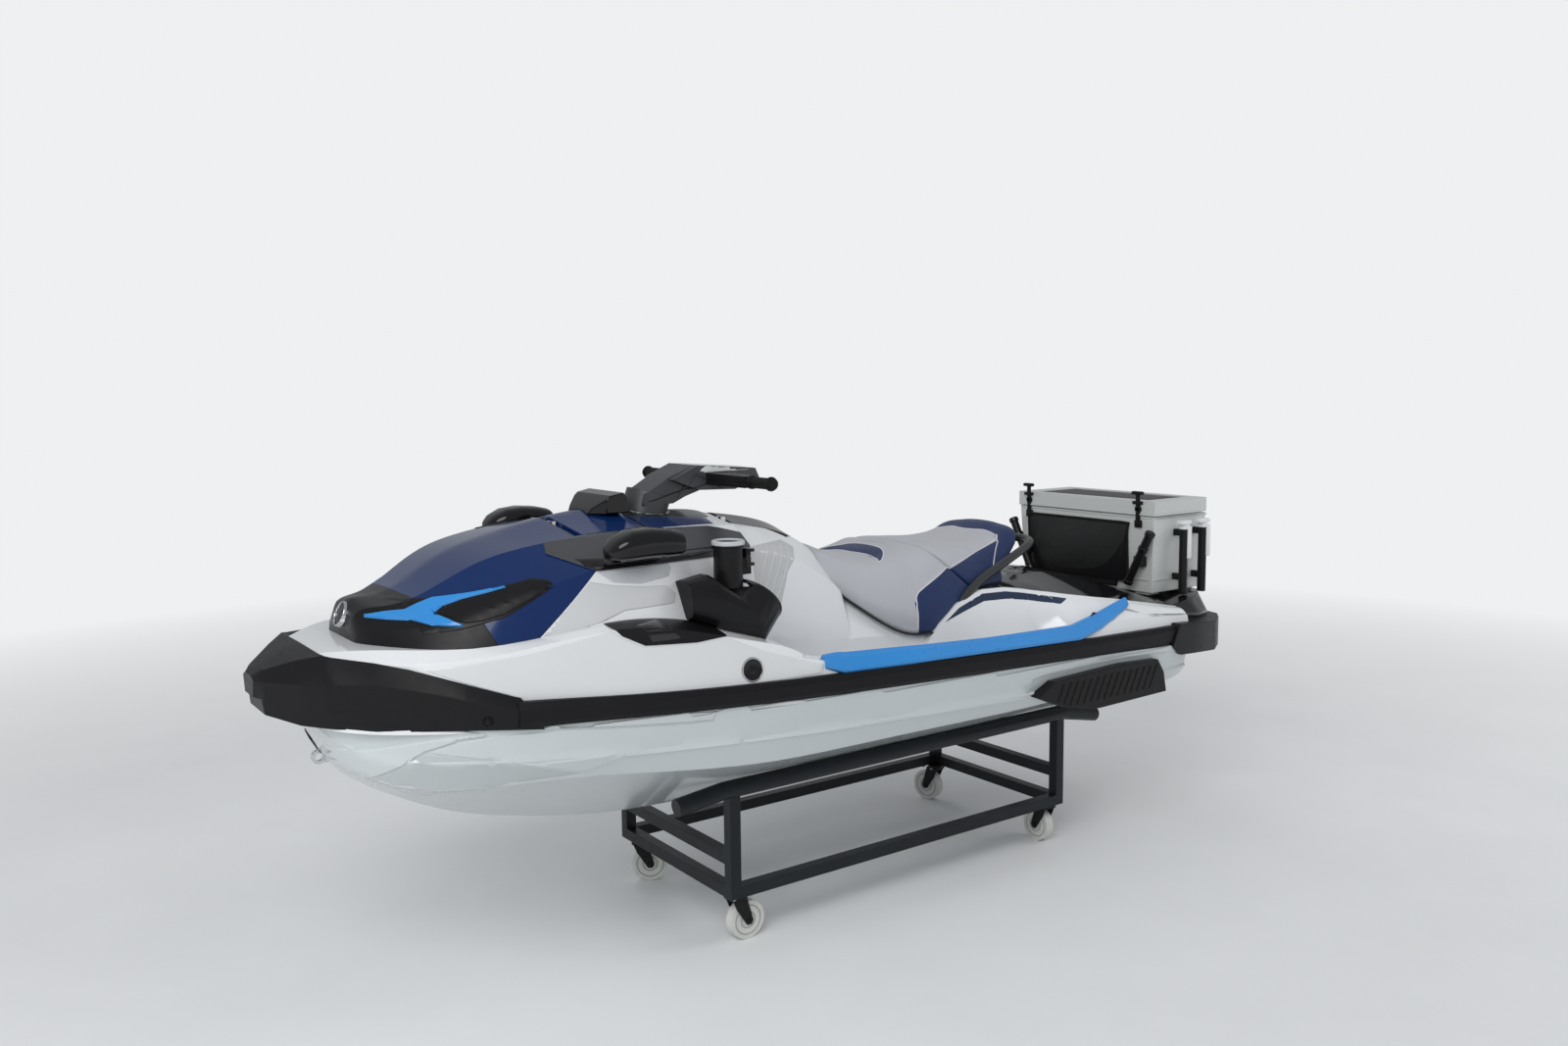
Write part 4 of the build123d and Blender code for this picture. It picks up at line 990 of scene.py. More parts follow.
def make_haunches():
    """White walls that rise beside the seat to the black rear deck, with their stripe and heel patch."""
    pressed("footwells", "footwell_deck", "deck_gelcoat", 16.0)
    pressed("rear_deck_skin", "rear_deck", "gloss_black", 25.0)
    walls, ledges = [], []
    for side in (-1, 1):
        rings, tops = [], []
        for station in np.concatenate([np.linspace(2.040, 3.050, 70), np.linspace(3.050, 3.293, 16)[1:]]):
            foot_y, foot_z, top_y, top_z, inner_z = row_at(HAUNCH, station)
            foot, top = Vector((foot_y, foot_z)), Vector((top_y, top_z))
            out = Vector((top - foot).orthogonal()).normalized()
            if out.x < 0:
                out = -out
            profile = [foot.lerp(top, t) + out * 0.006 * math.sin(math.pi * t)
                       for t in (0, 0.2, 0.4, 0.6, 0.8, 0.95)]
            profile += [top + Vector(step)
                        for step in ((0, 0.0015), (-0.005, 0.003), (-0.011, 0.0015), (-0.045, 0.0))]
            rings.append([(at(station), q.x * side, q.y) for q in profile])
            if station >= BLACK_FROM:
                inner = Vector((DECK_INNER_Y, inner_z))
                start = top + Vector((-0.010, 0.001))
                profile = [start + Vector((0, -0.004)), start]
                profile += [start.lerp(inner, t) + Vector((0, 0.004 * math.sin(math.pi * t)))
                            for t in (0.04, 0.3, 0.6, 1.0)]
                tops.append([(at(station), q.x * side, q.y) for q in profile])
        walls.append(sided(skin(rings, closed=False, ends=False), side))
        ledges.append(sided(skin(tops, closed=False, ends=False), side))
    piece("haunch_walls", *joined(walls), "deck_gelcoat", "footwell_deck", sharp=30.0)
    piece("rear_deck_edges", *joined(ledges), "gloss_black", "rear_deck", sharp=30.0)
    inlay("haunch_stripe", ["haunch_walls"], [
        (2.205, 0.928), (2.280, 0.974), (2.400, 1.011), (2.500, 1.011), (2.560, 1.003), (2.660, 0.986),
        (2.715, 0.976), (2.668, 0.960), (2.560, 0.977), (2.500, 0.984), (2.400, 0.984), (2.290, 0.955),
    ], 0.0012, "stripe_navy", "footwell_deck", lip=0.0015)
    inlay("heel_patch", ["haunch_walls", "footwell_deck"], [
        (2.690, 0.905), (2.745, 0.935), (2.765, 0.930), (2.860, 0.943), (2.858, 0.934), (2.760, 0.912),
    ], 0.0012, "recess_black", "footwell_deck", lip=0.0015)


def make_gunwale_trim():
    """The blue trim with its raised crown along each gunwale."""
    strips = []
    for side in (-1, 1):
        rings = []
        for station in np.concatenate([np.linspace(1.500, 1.620, 8), np.linspace(1.640, 2.620, 40),
                                       np.linspace(2.640, 2.940, 24)]):
            yo, zo, yi, zi = row_at(TRIM, station)
            crown = np.interp(station, [1.50, 1.56, 1.80, 2.20], [0.023, 0.034, 0.030, 0.021])
            profile = [(yo, zo - 0.010), (yo + 0.009, zo - 0.004), (yo + 0.010, zo + 0.006),
                       (yo * 0.70 + yi * 0.30 + 0.004, zo * 0.7 + zi * 0.3 + crown),
                       (yo * 0.35 + yi * 0.65 + 0.002, zo * 0.35 + zi * 0.65 + crown + 0.001),
                       (yi + 0.004, zi + 0.010), (yi - 0.001, zi + 0.004), (yi + 0.004, zi - 0.012)]
            rings.append([(at(station), y * side, z) for y, z in profile])
        strips.append(sided(skin(rings), side))
    trim = piece("gunwale_strip", *joined(strips), "accent_blue", "gunwale_trim", sharp=20.0)
    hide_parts("gunwale_trim")


def make_grab_bar():
    """The bar that runs round the back of the rear seat."""
    route = [(2.300, 0.328, 0.975), (2.340, 0.324, 1.012), (2.430, 0.310, 1.058), (2.600, 0.286, 1.116),
             (2.735, 0.246, 1.152), (2.785, 0.190, 1.162), (2.796, 0.100, 1.163), (2.798, 0.0, 1.163)]
    half = smooth_curve([(at(station), -y, z) for station, y, z in route], 0.012)
    whole = half + mirrored(reversed(half[:-1]))
    bar = piece("grab_bar", *tube(whole, 0.0155, 18), "handle_satin", "grab_handle", sharp=50.0)
    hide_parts("grab_handle")


# station, y, z, half width and half height along a mirror
MIRROR = [
    (0.855, 0.436, 1.296, 0.014, 0.008), (0.862, 0.434, 1.299, 0.034, 0.018),
    (0.880, 0.432, 1.306, 0.052, 0.030), (0.920, 0.430, 1.315, 0.062, 0.041),
    (0.975, 0.430, 1.319, 0.067, 0.043), (1.030, 0.431, 1.317, 0.068, 0.041),
    (1.068, 0.432, 1.313, 0.067, 0.037), (1.077, 0.432, 1.312, 0.064, 0.033),
]


def make_helm():
    """Grip collars and the gauge screen."""
    collars = []
    for side in (-1, 1):
        low, high = part_box("grips", side)
        middle = (low + high) / 2
        for along, radius in ((0.012, 0.0215), (0.020, 0.0205), (0.117, 0.0225)):
            profile = [(-0.004, radius - 0.003), (-0.002, radius), (0.003, radius), (0.005, radius - 0.003)]
            y = side * (abs(low.y if side > 0 else high.y) + along)
            collars.append(turned(profile, (middle.x, y, middle.z), (0, side, 0), 28))
    piece("grip_collars", *joined(collars), "rubber_black", "grips")
    low, high = part_box("gauge_hood")
    place = (high.x - 0.006, 0, (low.z + high.z) / 2 + 0.004)
    size = (0.006, (high.y - low.y) * 0.72, (high.z - low.z) * 0.5)
    piece("gauge_screen", *cushioned_block(place, size), "screen_glass", "gauge_hood")


def make_mirrors():
    """Rounded mirror shells with their glass."""
    shells, glasses = [], []
    for side in (-1, 1):
        rings = []
        for station, y, z, wide, tall in MIRROR:
            ring = []
            for k in range(28):
                turn = 2 * math.pi * k / 28
                c, n = math.cos(turn), math.sin(turn)
                ring.append((at(station), side * (y + wide * math.copysign(abs(c) ** 0.6, c)),
                             z + tall * math.copysign(abs(n) ** 0.7, n)))
            rings.append(ring)
        shells.append(sided(skin(rings), side))
        low, high = part_box("mirrors", side)
        place = (high.x - 0.002, (low.y + high.y) / 2, 1.312)
        glasses.append(cushioned_block(place, (0.004, 0.104, 0.050), 0.0018))
    shell = piece("mirror_shells", *joined(shells), "gloss_black", "mirrors", sharp=50.0)
    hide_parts("mirrors")
    piece("mirror_glass", *joined(glasses), "bright_steel", "mirrors")


def make_cup():
    """The cup's rim and the clip in it."""
    cup = spot(1.267, -0.420, 1.288)
    profile = [(0.0, 0.0405), (0.010, 0.0405), (0.013, 0.0435), (0.013, 0.0475), (0.010, 0.0500),
               (0.001, 0.0500), (-0.001, 0.0475)]
    points, faces = turned(profile, cup, (0, 0, 1), 40)
    piece("cup_rim", points, faces[:-2], "inset_grey", "cup_holder")
    clip = joined([cushioned_block(cup + Vector((0.058, -0.006, -0.045)), (0.018, 0.034, 0.060), 0.003),
                   cushioned_block(cup + Vector((0.068, -0.006, -0.022)), (0.030, 0.026, 0.010), 0.002),
                   cushioned_block(cup + Vector((0.068, -0.006, -0.064)), (0.030, 0.026, 0.010), 0.002)])
    piece("cup_clip", *clip, "gloss_black", "cup_holder")


LATCHES_Y = (0.302, -0.286)


def make_pocket():
    """The mesh pocket on the cooler's front, stretched in its frame."""
    face = at(3.3245)
    outline = [(0.304, 1.190), (-0.238, 1.190), (-0.172, 0.930), (0.300, 0.924)]
    frame_path = curve([(face + (1.19 - z) * 0.04, y, z) for y, z in outline], 0.03, closed=True)
    piece("pocket_frame", *tube(frame_path, 0.006, 8, closed=True), "rubber_black", "cooler_fittings")
    rows = []
    for i in range(31):
        t = i / 30
        z = 1.190 - t * 0.262
        left, right = 0.304 - 0.004 * t, -0.238 + 0.066 * t
        sag = 0.012 * math.sin(math.pi * t)
        x = face - 0.001 + (1.19 - z) * 0.04
        rows.append([(x - sag * math.sin(math.pi * u / 40), left + (right - left) * u / 40, z)
                     for u in range(41)])
    mesh = piece("pocket_mesh", *skin(rows, closed=False, ends=False), "mesh_black", "cooler_fittings")


def make_lid_fittings():
    """Lips, insert and latches of the cooler's lid, and the latches' keepers on the tub."""
    low, high = part_box("cooler_lid")
    bands = []
    for z, grow in ((1.2285, 0.002), (1.279, -0.005)):
        front, left, right, rear = low.x - grow, low.y - grow, high.y + grow, high.x - 0.070
        path = [(rear, left, z), (front + 0.014, left, z), (front + 0.004, left + 0.004, z),
                (front, left + 0.014, z), (front, right - 0.014, z), (front + 0.004, right - 0.004, z),
                (front + 0.014, right, z), (rear, right, z)]
        bands.append(tube(curve(path, 0.05), 0.004, 8))
    piece("lid_lips", *joined(bands), "cooler_lid", "cooler_lid")
    insert = cushioned_block((at(3.492), 0, 1.2785), (0.236, 0.592, 0.006), 0.0025)
    piece("lid_insert", *insert, "mat_dark", "cooler_lid")
    latch = [
        # x from the cooler's front face, z, size and bevel of each block
        (0.0, 1.232, (0.008, 0.020, 0.100), 0.003), (-0.003, 1.276, (0.016, 0.046, 0.013), 0.004),
        (-0.002, 1.296, (0.011, 0.018, 0.030), 0.004), (-0.004, 1.315, (0.020, 0.052, 0.014), 0.005),
        (0.001, 1.250, (0.010, 0.030, 0.018), 0.003),
    ]
    latches = [cushioned_block((at(3.3225) + x, y, z), size, bevel)
               for y in LATCHES_Y for x, z, size, bevel in latch]
    piece("lid_latches", *joined(latches), "rubber_black", "cooler_lid")
    keepers = [cushioned_block((at(3.3255), y, 1.190), (0.010, 0.034, 0.030), 0.003) for y in LATCHES_Y]
    piece("latch_keepers", *joined(keepers), "rubber_black", "cooler_tub")


def make_rod_fittings():
    """White clips of the upper rod holders and collars of the lower rod tubes."""
    clips = []
    profile = [(-0.022, 0.019), (-0.020, 0.0205), (0.0, 0.0205), (0.002, 0.019)]
    for x in (at(3.470), at(3.592)):
        for side in (-1, 1):
            clips.append(cushioned_block((x + 0.012, side * 0.4165, 1.115), (0.024, 0.006, 0.130), 0.0025))
            clips.append(cushioned_block((x - 0.008, side * 0.404, 1.196), (0.062, 0.030, 0.016), 0.004))
            clips.append(turned(profile, (x, side * 0.398, 1.190), (0, 0, 1), 28))
    piece("rod_clips", *joined(clips), "white_clip", "cooler_fittings")
    collars = []
    for side in (-1, 1):
        a, b = spot(3.296, side * 0.262, 0.950), spot(3.296, side * 0.372, 1.165)
        axis = (b - a).normalized()
        for along in (0.004, 0.16, 0.228):
            collars.append(turned([(-0.006, 0.0172), (-0.004, 0.0205), (0.010, 0.0205), (0.013, 0.0172)],
                                  a + axis * along, axis, 28))
    piece("rod_tube_collars", *joined(collars), "gloss_black", "cooler_fittings")


def make_tub_bands():
    """Fine bands round the tub under its lid and above its foot."""
    low, high = part_box("cooler_tub")
    for name, z, inset in (("tub_seam", 1.214, 0.001), ("tub_foot_band", 0.962, 0.0125)):
        corners = []
        for x, y, dx, dy in ((low.x, low.y, 1, 1), (high.x, low.y, -1, 1), (high.x, high.y, -1, -1),
                             (low.x, high.y, 1, -1)):
            x, y = x + dx * inset, y + dy * inset
            pair = [(x, y + dy * 0.012, z), (x + dx * 0.012, y, z)]
            corners += pair if dx == dy else pair[::-1]
        loop = curve(corners, 0.05, closed=True)
        piece(name, *tube(loop, 0.0025, 8, closed=True), "cooler_shell", "cooler_tub")


def make_bumper_bolts():
    """A bolt in a raised ring on each side of the front bumper."""
    raised = [(-0.002, 0.013), (0.001, 0.0145), (0.0025, 0.0135), (0.001, 0.0115), (-0.001, 0.011)]
    heads = []
    for side in (-1, 1):
        hit, normal = met_from_side(skin_of(["front_bumper"]), side, 0.488, 0.885)
        heads += [bolt(hit, normal, 0.007), turned(raised, hit, normal, 28)]
    piece("bumper_bolts", *joined(heads), "cowl_black", "front_bumper")


def make_badge():
    """A plain round disc in a bright ring on the port side of the deck."""
    hit, normal = met_from_side(skin_of(["deck"]), -1, 1.245, 0.939)
    profile = [(-0.001, 0.036), (0.0022, 0.036), (0.0032, 0.034), (0.0022, 0.030), (0.0026, 0.012),
               (0.0026, 0.0008)]
    piece("round_badge", *turned(profile, hit, normal, 48), "gloss_black", "deck")
    profile = [(0.001, 0.0355), (0.0036, 0.0355), (0.0044, 0.0335), (0.0036, 0.0315), (0.001, 0.0315)]
    piece("round_badge_ring", *turned(profile, hit, normal, 48), "bright_steel", "deck")


def make_caster_details():
    """Plate bolts, hub and two rings of painted groove shade on each caster."""
    for corner in CORNERS:
        fork, wheel = f"caster_fork_{corner}", f"caster_wheel_{corner}"
        low, high = part_box(wheel)
        middle, axis = (low + high) / 2, wheel_axis(corner)
        low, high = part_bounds(fork)
        plate = [bolt(Vector(((low[0] + high[0]) / 2 + dx, (low[1] + high[1]) / 2 + dy, high[2] - 0.0065)),
                      (0, 0, -1), 0.006) for dx in (-0.032, 0.032) for dy in (-0.024, 0.024)]
        piece(f"caster_bolts_{corner}", *joined(plate), "zinc", "cradle_frame")
        hub = turned([(-0.019, 0.010), (-0.018, 0.013), (0.018, 0.013), (0.019, 0.010)], middle, axis, 24)
        piece(f"wheel_hub_{corner}", *hub, "zinc", wheel)
        # two darker beads on each face of a wheel: painted shade of its ring grooves
        bead = [(0.0165, -0.003), (0.0182, -0.0015), (0.0182, 0.0015), (0.0165, 0.003)]
        rings = [turned([(face * out, radius + step) for out, step in bead], middle, axis, 40)
                 for face in (-1, 1) for radius in (0.026, 0.047)]
        piece(f"wheel_rings_{corner}", *joined(rings), "wheel_shade", wheel)


def make_sponson_ribs():
    """Slanting ribs on the outer face of each sponson."""
    tree = skin_of(["sponsons"])
    ribs = []
    for side in (-1, 1):
        for start in (2.50 + i * 0.036 for i in range(15)):
            hits = [met_from_side(tree, side, start + (z - 0.67) * 0.5, z)[0]
                    for z in np.linspace(0.632, 0.716, 8)]
            column = [hit + Vector((0, side * 0.0005, 0)) for hit in hits if hit is not None]
            if len(column) > 3:
                ribs.append(tube(column, 0.003, 6))
    piece("sponson_ribs", *joined(ribs), "bumper_black", "sponsons")


# top of the neck's shell, which leaves room for its cover, and the step of its lower rim
NECK_TOP_Z, NECK_STEP = 1.5035, 0.0015


def make_faces():
    """Stepped faces of the hull and the deck, some of them painted shade, and the painted shapes of the
    nose.
    """
    inlay("bow_upper_face", ["hull"], [
        (0.135, 0.800), (0.15, 0.77), (0.232, 0.707), (0.351, 0.806), (0.427, 0.835), (0.541, 0.847),
        (0.657, 0.846), (1.028, 0.816), (1.11, 0.812), (1.13, 0.862), (0.65, 0.862), (0.60, 0.850),
        (0.45, 0.848), (0.35, 0.838), (0.25, 0.815),
    ], 0.006, "hull_gelcoat", "hull", lip=0.004, pitch=0.014)
    inlay("hull_side_face", ["hull"], [
        (0.351, 0.803), (0.531, 0.767), (0.751, 0.705), (0.843, 0.741), (1.132, 0.727), (1.507, 0.709),
        (2.154, 0.687), (2.380, 0.679), (2.400, 0.748), (2.480, 0.754), (2.840, 0.756), (3.030, 0.752),
        (3.120, 0.745), (3.150, 0.868), (1.134, 0.868), (1.114, 0.808), (1.028, 0.812), (0.657, 0.842),
        (0.541, 0.843), (0.427, 0.831),
    ], 0.0035, "hull_gelcoat", "hull", pitch=0.018)
    # painted shade: the lower facet of the bow, raised slightly and coloured darker than the hull
    inlay("bow_lower_shaded_face", ["hull"], [
        (0.236, 0.703), (0.353, 0.799), (0.531, 0.764), (0.748, 0.702), (0.552, 0.697), (0.431, 0.667),
        (0.40, 0.62),
    ], 0.001, "hull_shade", "hull", lip=0.002)
    inlay("nose_cheek", ["nose_hood", "nose_cowl"], [
        (0.34, 1.178), (0.375, 1.184), (0.436, 1.191), (0.590, 1.219), (0.669, 1.237), (0.706, 1.232),
        (0.716, 1.217), (0.646, 1.178), (0.575, 1.142), (0.468, 1.116), (0.38, 1.104),
    ], 0.002, "cowl_black", "nose_cowl")
    inlay("nose_panel", ["nose_hood", "nose_cowl"], [
        (0.428, 1.155), (0.452, 1.172), (0.500, 1.188), (0.605, 1.214), (0.662, 1.224), (0.692, 1.222),
        (0.702, 1.214), (0.640, 1.180), (0.575, 1.148), (0.517, 1.133), (0.478, 1.130),
    ], 0.005, "bumper_black", "nose_cowl", lip=0.004)
    accent = inlay("nose_accent", ["nose_hood", "nose_cowl"], [
        (0.276, 1.141), (0.278, 1.149), (0.320, 1.156), (0.367, 1.161), (0.400, 1.176), (0.436, 1.191),
        (0.520, 1.205), (0.598, 1.220), (0.602, 1.214), (0.495, 1.187), (0.448, 1.170), (0.424, 1.154),
        (0.476, 1.128), (0.470, 1.123), (0.405, 1.126), (0.369, 1.137), (0.320, 1.138),
    ], 0.007, "accent_blue", "nose_cowl", pitch=0.008)
    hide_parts("hood_trim")
    inlay("shoulder_face", ["deck"], [
        (0.470, 1.073), (0.716, 1.140), (0.812, 1.220), (0.880, 1.205), (0.969, 1.193), (1.060, 1.186),
        (1.085, 1.160), (1.075, 1.133), (0.905, 1.132), (0.826, 1.108), (0.759, 1.096), (0.567, 1.076),
    ], 0.0025, "inset_pale", "deck")
    # painted shadow under the console, a face in the inset grey
    inlay("console_shadow_face", ["deck"], [
        (0.838, 1.244), (0.884, 1.210), (0.969, 1.198), (1.074, 1.209), (1.090, 1.232), (1.080, 1.245),
    ], 0.0025, "inset_grey", "deck")
    inlay("lower_side_face", ["deck", "footwell_deck"], [
        (0.350, 1.027), (0.592, 1.052), (0.824, 1.097), (0.852, 1.074), (0.916, 1.042), (1.073, 1.034),
        (1.178, 1.040), (1.290, 0.988), (1.500, 0.922), (1.490, 0.895), (1.029, 0.900), (0.700, 0.905),
        (0.60, 0.915), (0.563, 0.940), (0.436, 0.988),
    ], 0.002, "side_pale", "deck")
    inlay("bumper_lower_face", ["deck", "front_bumper"], [
        (0.135, 0.893), (0.150, 0.925), (0.240, 0.935), (0.330, 0.925), (0.375, 0.905), (0.372, 0.872),
        (0.300, 0.870), (0.240, 0.868), (0.180, 0.874),
    ], 0.0025, "bumper_black", "front_bumper", lip=0.006)
    # painted shade: a black sheet on the deck under the front lid, seen through the gaps round it
    inlay("lid_well_shade", ["deck"], [
        (0.830, 0.0), (0.830, 0.252), (1.116, 0.254), (1.116, 0.0),
    ], 0.0008, "recess_black", "deck", view="top", lip=0.001)
    inlay("console_top", ["deck"], [
        (1.085, 0.0), (1.085, 0.112), (1.243, 0.108), (1.385, 0.122), (1.400, 0.100), (1.430, 0.0),
    ], 0.0012, "gloss_black", "deck", view="top", lip=0.0015)
    inlay("console_band", ["deck"], [
        (1.096, 0.112), (1.243, 0.112), (1.372, 0.126), (1.350, 0.212), (1.200, 0.233), (1.100, 0.238),
    ], 0.0015, "hood_navy", "deck", view="top", lip=0.0015)
    inlay("console_lower_edge", ["console_panels", "deck"], [
        (0.800, 1.278), (0.990, 1.275), (1.136, 1.276), (1.270, 1.274), (1.330, 1.266), (1.115, 1.248),
        (0.845, 1.246), (0.802, 1.262),
    ], 0.0015, "gloss_black", "console_panels", lip=0.0015)
    inlay("pedestal_ribs", ["footwell_deck"], [
        (1.440, 1.250), (1.640, 1.250), (1.690, 1.222), (1.615, 1.155), (1.556, 1.030), (1.460, 1.040),
    ], 0.002, "rib_grey", "footwell_deck")
    ridges = [ridge_on(["footwell_deck", "pedestal_ribs"], side, (1.540 + i * 0.036, 1.246 - i * 0.005),
                       (1.452 + i * 0.030, 1.090 - i * 0.010), 0.0026) for side in (-1, 1) for i in range(4)]
    piece("pedestal_ridges", *joined(ridges), "cover_white", "footwell_deck")
    # dark lines along the neck's grooves: painted shade in the grooves
    grooves = [ridge_on(["steering_neck"], side, start, end, 0.0022) for side in (-1, 1)
               for start, end in (((1.20, 1.395), (1.44, 1.452)), ((1.27, 1.352), (1.36, 1.478)),
                                  ((1.36, 1.478), (1.47, 1.420)))]
    piece("neck_lines", *joined(grooves), "recess_black", "steering_neck")
    neck = copied("neck_shell", "steering_neck", "steering_grey", 25.0)
    for vertex in neck.data.vertices:
        vertex.co.z = min(vertex.co.z, NECK_TOP_Z - NECK_STEP * (vertex.co.z < 1.505))
    inlay("steering_cover", ["neck_shell"], [
        (1.374, -0.048), (1.402, -0.074), (1.560, -0.066), (1.586, -0.030), (1.586, 0.030),
        (1.560, 0.066), (1.402, 0.074), (1.374, 0.048),
    ], 0.0025, "cover_white", "steering_neck", view="top", sides=(1,), lip=0.006)
    inlay("steering_cover_sides", ["neck_shell"], [
        (1.376, 1.486), (1.398, 1.500), (1.560, 1.500), (1.584, 1.488), (1.560, 1.481), (1.398, 1.478),
    ], 0.002, "cover_white", "steering_neck", pitch=0.008)
    # dark faces in the cleats' recesses: painted shade
    inlay("cleat_upper_recess", ["side_cleats"], [
        (0.900, 1.101), (0.984, 1.104), (1.004, 1.080), (0.926, 1.083),
    ], 0.0015, "recess_black", "side_cleats", lip=0.002, pitch=0.008)
    inlay("cleat_lower_recess", ["side_cleats"], [
        (0.926, 1.076), (1.007, 1.073), (1.028, 1.055), (0.937, 1.053),
    ], 0.0015, "recess_black", "side_cleats", lip=0.002, pitch=0.008)


def make_emblem_disc():
    """A plain round disc in a ring on the tip of the nose."""
    tree = skin_of(["nose_cowl"])
    hit, _, _, _ = tree.ray_cast(Vector((at(-0.2), 0, 1.135)), Vector((1, 0, 0)))
    axis = Vector((-0.92, 0, 0.39)).normalized()
    centre = hit + axis * 0.001
    profile = [(-0.006, 0.030), (0.001, 0.030), (0.004, 0.027), (0.005, 0.012), (0.005, 0.0008)]
    piece("nose_disc", *turned(profile, centre, axis, 40), "gloss_black", "nose_cowl")
    profile = [(-0.006, 0.031), (0.004, 0.031), (0.007, 0.0325), (0.007, 0.0345), (0.004, 0.036),
               (-0.006, 0.037)]
    piece("nose_disc_ring", *turned(profile, centre, axis, 48), "bright_steel", "nose_cowl")


def make_pod_rings():
    """A gloss ring round the open face of each pod."""
    bodies = []
    for side in (-1, 1):
        axis = Vector((0.66, -0.30 * side, 0.68)).normalized()
        first, second = across(axis)
        centre = spot(1.361, 0.400 * side, 1.107) + axis * 0.002
        path = [centre + (first * math.cos(a) + second * math.sin(a)) * 0.094
                for a in (2 * math.pi * i / 48 for i in range(48))]
        bodies.append(tube(path, 0.006, 12, closed=True))
    piece("pod_rings", *joined(bodies), "gloss_black", "speaker_pods")


# Stage

BACKDROP = (0.86, 0.87, 0.88, 1.0)
FLOOR_HALF = 60.0
# distances from the middle over which the floor takes the backdrop's colour, in metres
FADE = (3.2, 7.5)


def make_floor():
    """A wide flat pale floor that fades into the colour of the world far from the craft."""
    mesh = bpy.data.meshes.new("floor")
    corners = [(-FLOOR_HALF, -FLOOR_HALF, 0), (FLOOR_HALF, -FLOOR_HALF, 0), (FLOOR_HALF, FLOOR_HALF, 0),
               (-FLOOR_HALF, FLOOR_HALF, 0)]
    mesh.from_pydata(corners, [], [(0, 1, 2, 3)])
    floor = bpy.data.objects.new("floor", mesh)
    bpy.context.scene.collection.objects.link(floor)
    s = Shade("floor_pale")
    speck = s.noise(2.0, 5.0, 0.6)
    s.set(Base_Color=s.mix(s.between(speck, 0.3, 0.7), (0.76, 0.77, 0.775), (0.79, 0.80, 0.805)),
          Roughness=0.75)
    far = s.tree.nodes.new("ShaderNodeVectorMath")
    far.operation = "LENGTH"
    s.link(s.place, far.inputs[0])
    glow = s.tree.nodes.new("ShaderNodeEmission")
    glow.inputs["Color"].default_value = BACKDROP
    blend = s.tree.nodes.new("ShaderNodeMixShader")
    s.link(s.between(far.outputs["Value"], *FADE), blend.inputs[0])
    s.link(s.shader.outputs[0], blend.inputs[1])
    s.link(glow.outputs[0], blend.inputs[2])
    s.link(blend.outputs[0], s.tree.nodes["Material Output"].inputs[0])
    mesh.materials.append(s.material)


def make_light():
    """A pale world and four large soft lamps. Only the key shows in glossy surfaces."""
    world = bpy.data.worlds.new("studio")
    bpy.context.scene.world = world
    world.use_nodes = True
    tree = world.node_tree
    background = tree.nodes["Background"]
    background.inputs["Color"].default_value = (0.82, 0.84, 0.87, 1.0)
    background.inputs["Strength"].default_value = 0.50
    path = tree.nodes.new("ShaderNodeLightPath")
    white = tree.nodes.new("ShaderNodeBackground")
    white.inputs["Color"].default_value = BACKDROP
    white.inputs["Strength"].default_value = 1.0
    seen = tree.nodes.new("ShaderNodeMixShader")
    tree.links.new(path.outputs["Is Camera Ray"], seen.inputs[0])
    tree.links.new(background.outputs[0], seen.inputs[1])
    tree.links.new(white.outputs[0], seen.inputs[2])
    tree.links.new(seen.outputs[0], tree.nodes["World Output"].inputs[0])
    lamps = [
        # name, place, aim, size, power
        ("key", (-4.5, -4.0, 5.0), (0.0, 0.0, 0.8), 4.0, 210.0),
        ("front", (-6.0, -0.5, 3.2), (-0.9, 0.0, 0.9), 2.0, 60.0),
        ("rear", (4.5, -2.5, 4.5), (1.0, 0.0, 0.9), 3.0, 90.0),
        ("back", (1.0, 5.5, 4.0), (0.0, 0.0, 0.8), 3.0, 45.0),
    ]
    for name, place, aim, size, power in lamps:
        data = bpy.data.lights.new(name, "AREA")
        data.shape = "DISK"
        data.size = size
        data.energy = power
        lamp = bpy.data.objects.new(name, data)
        lamp.visible_glossy = name == "key"
        bpy.context.scene.collection.objects.link(lamp)
        lamp.location = place
        lamp.rotation_euler = (Vector(aim) - Vector(place)).to_track_quat("-Z", "Y").to_euler()


def make_camera(c):
    """The camera at the place and heading worked out from the photograph."""
    azimuth, elevation, roll = c.azimuth, c.elevation, c.roll
    ahead = Vector((-math.sin(azimuth) * math.cos(elevation), math.cos(azimuth) * math.cos(elevation),
                    math.sin(elevation)))
    right = ahead.cross(Vector((0, 0, 1))).normalized()
    up = right.cross(ahead)
    side = right * math.cos(roll) + up * math.sin(roll)
    top = up * math.cos(roll) - right * math.sin(roll)
    data = bpy.data.cameras.new("camera")
    data.sensor_width = 36.0
    data.lens = c.lens
    data.clip_end = 200.0
    camera = bpy.data.objects.new("camera", data)
    bpy.context.scene.collection.objects.link(camera)
    turn = Matrix((side, top, -ahead)).transposed().to_4x4()
    camera.matrix_world = Matrix.Translation(Vector(c.place)) @ turn
    bpy.context.scene.camera = camera
    bpy.context.scene.view_settings.view_transform = "Standard"


# Property groups


def colour_property(name, description, default):
    return bpy.props.FloatVectorProperty(name=name, description=description, subtype="COLOR", size=3,
                                         min=0.0, max=1.0, default=default)


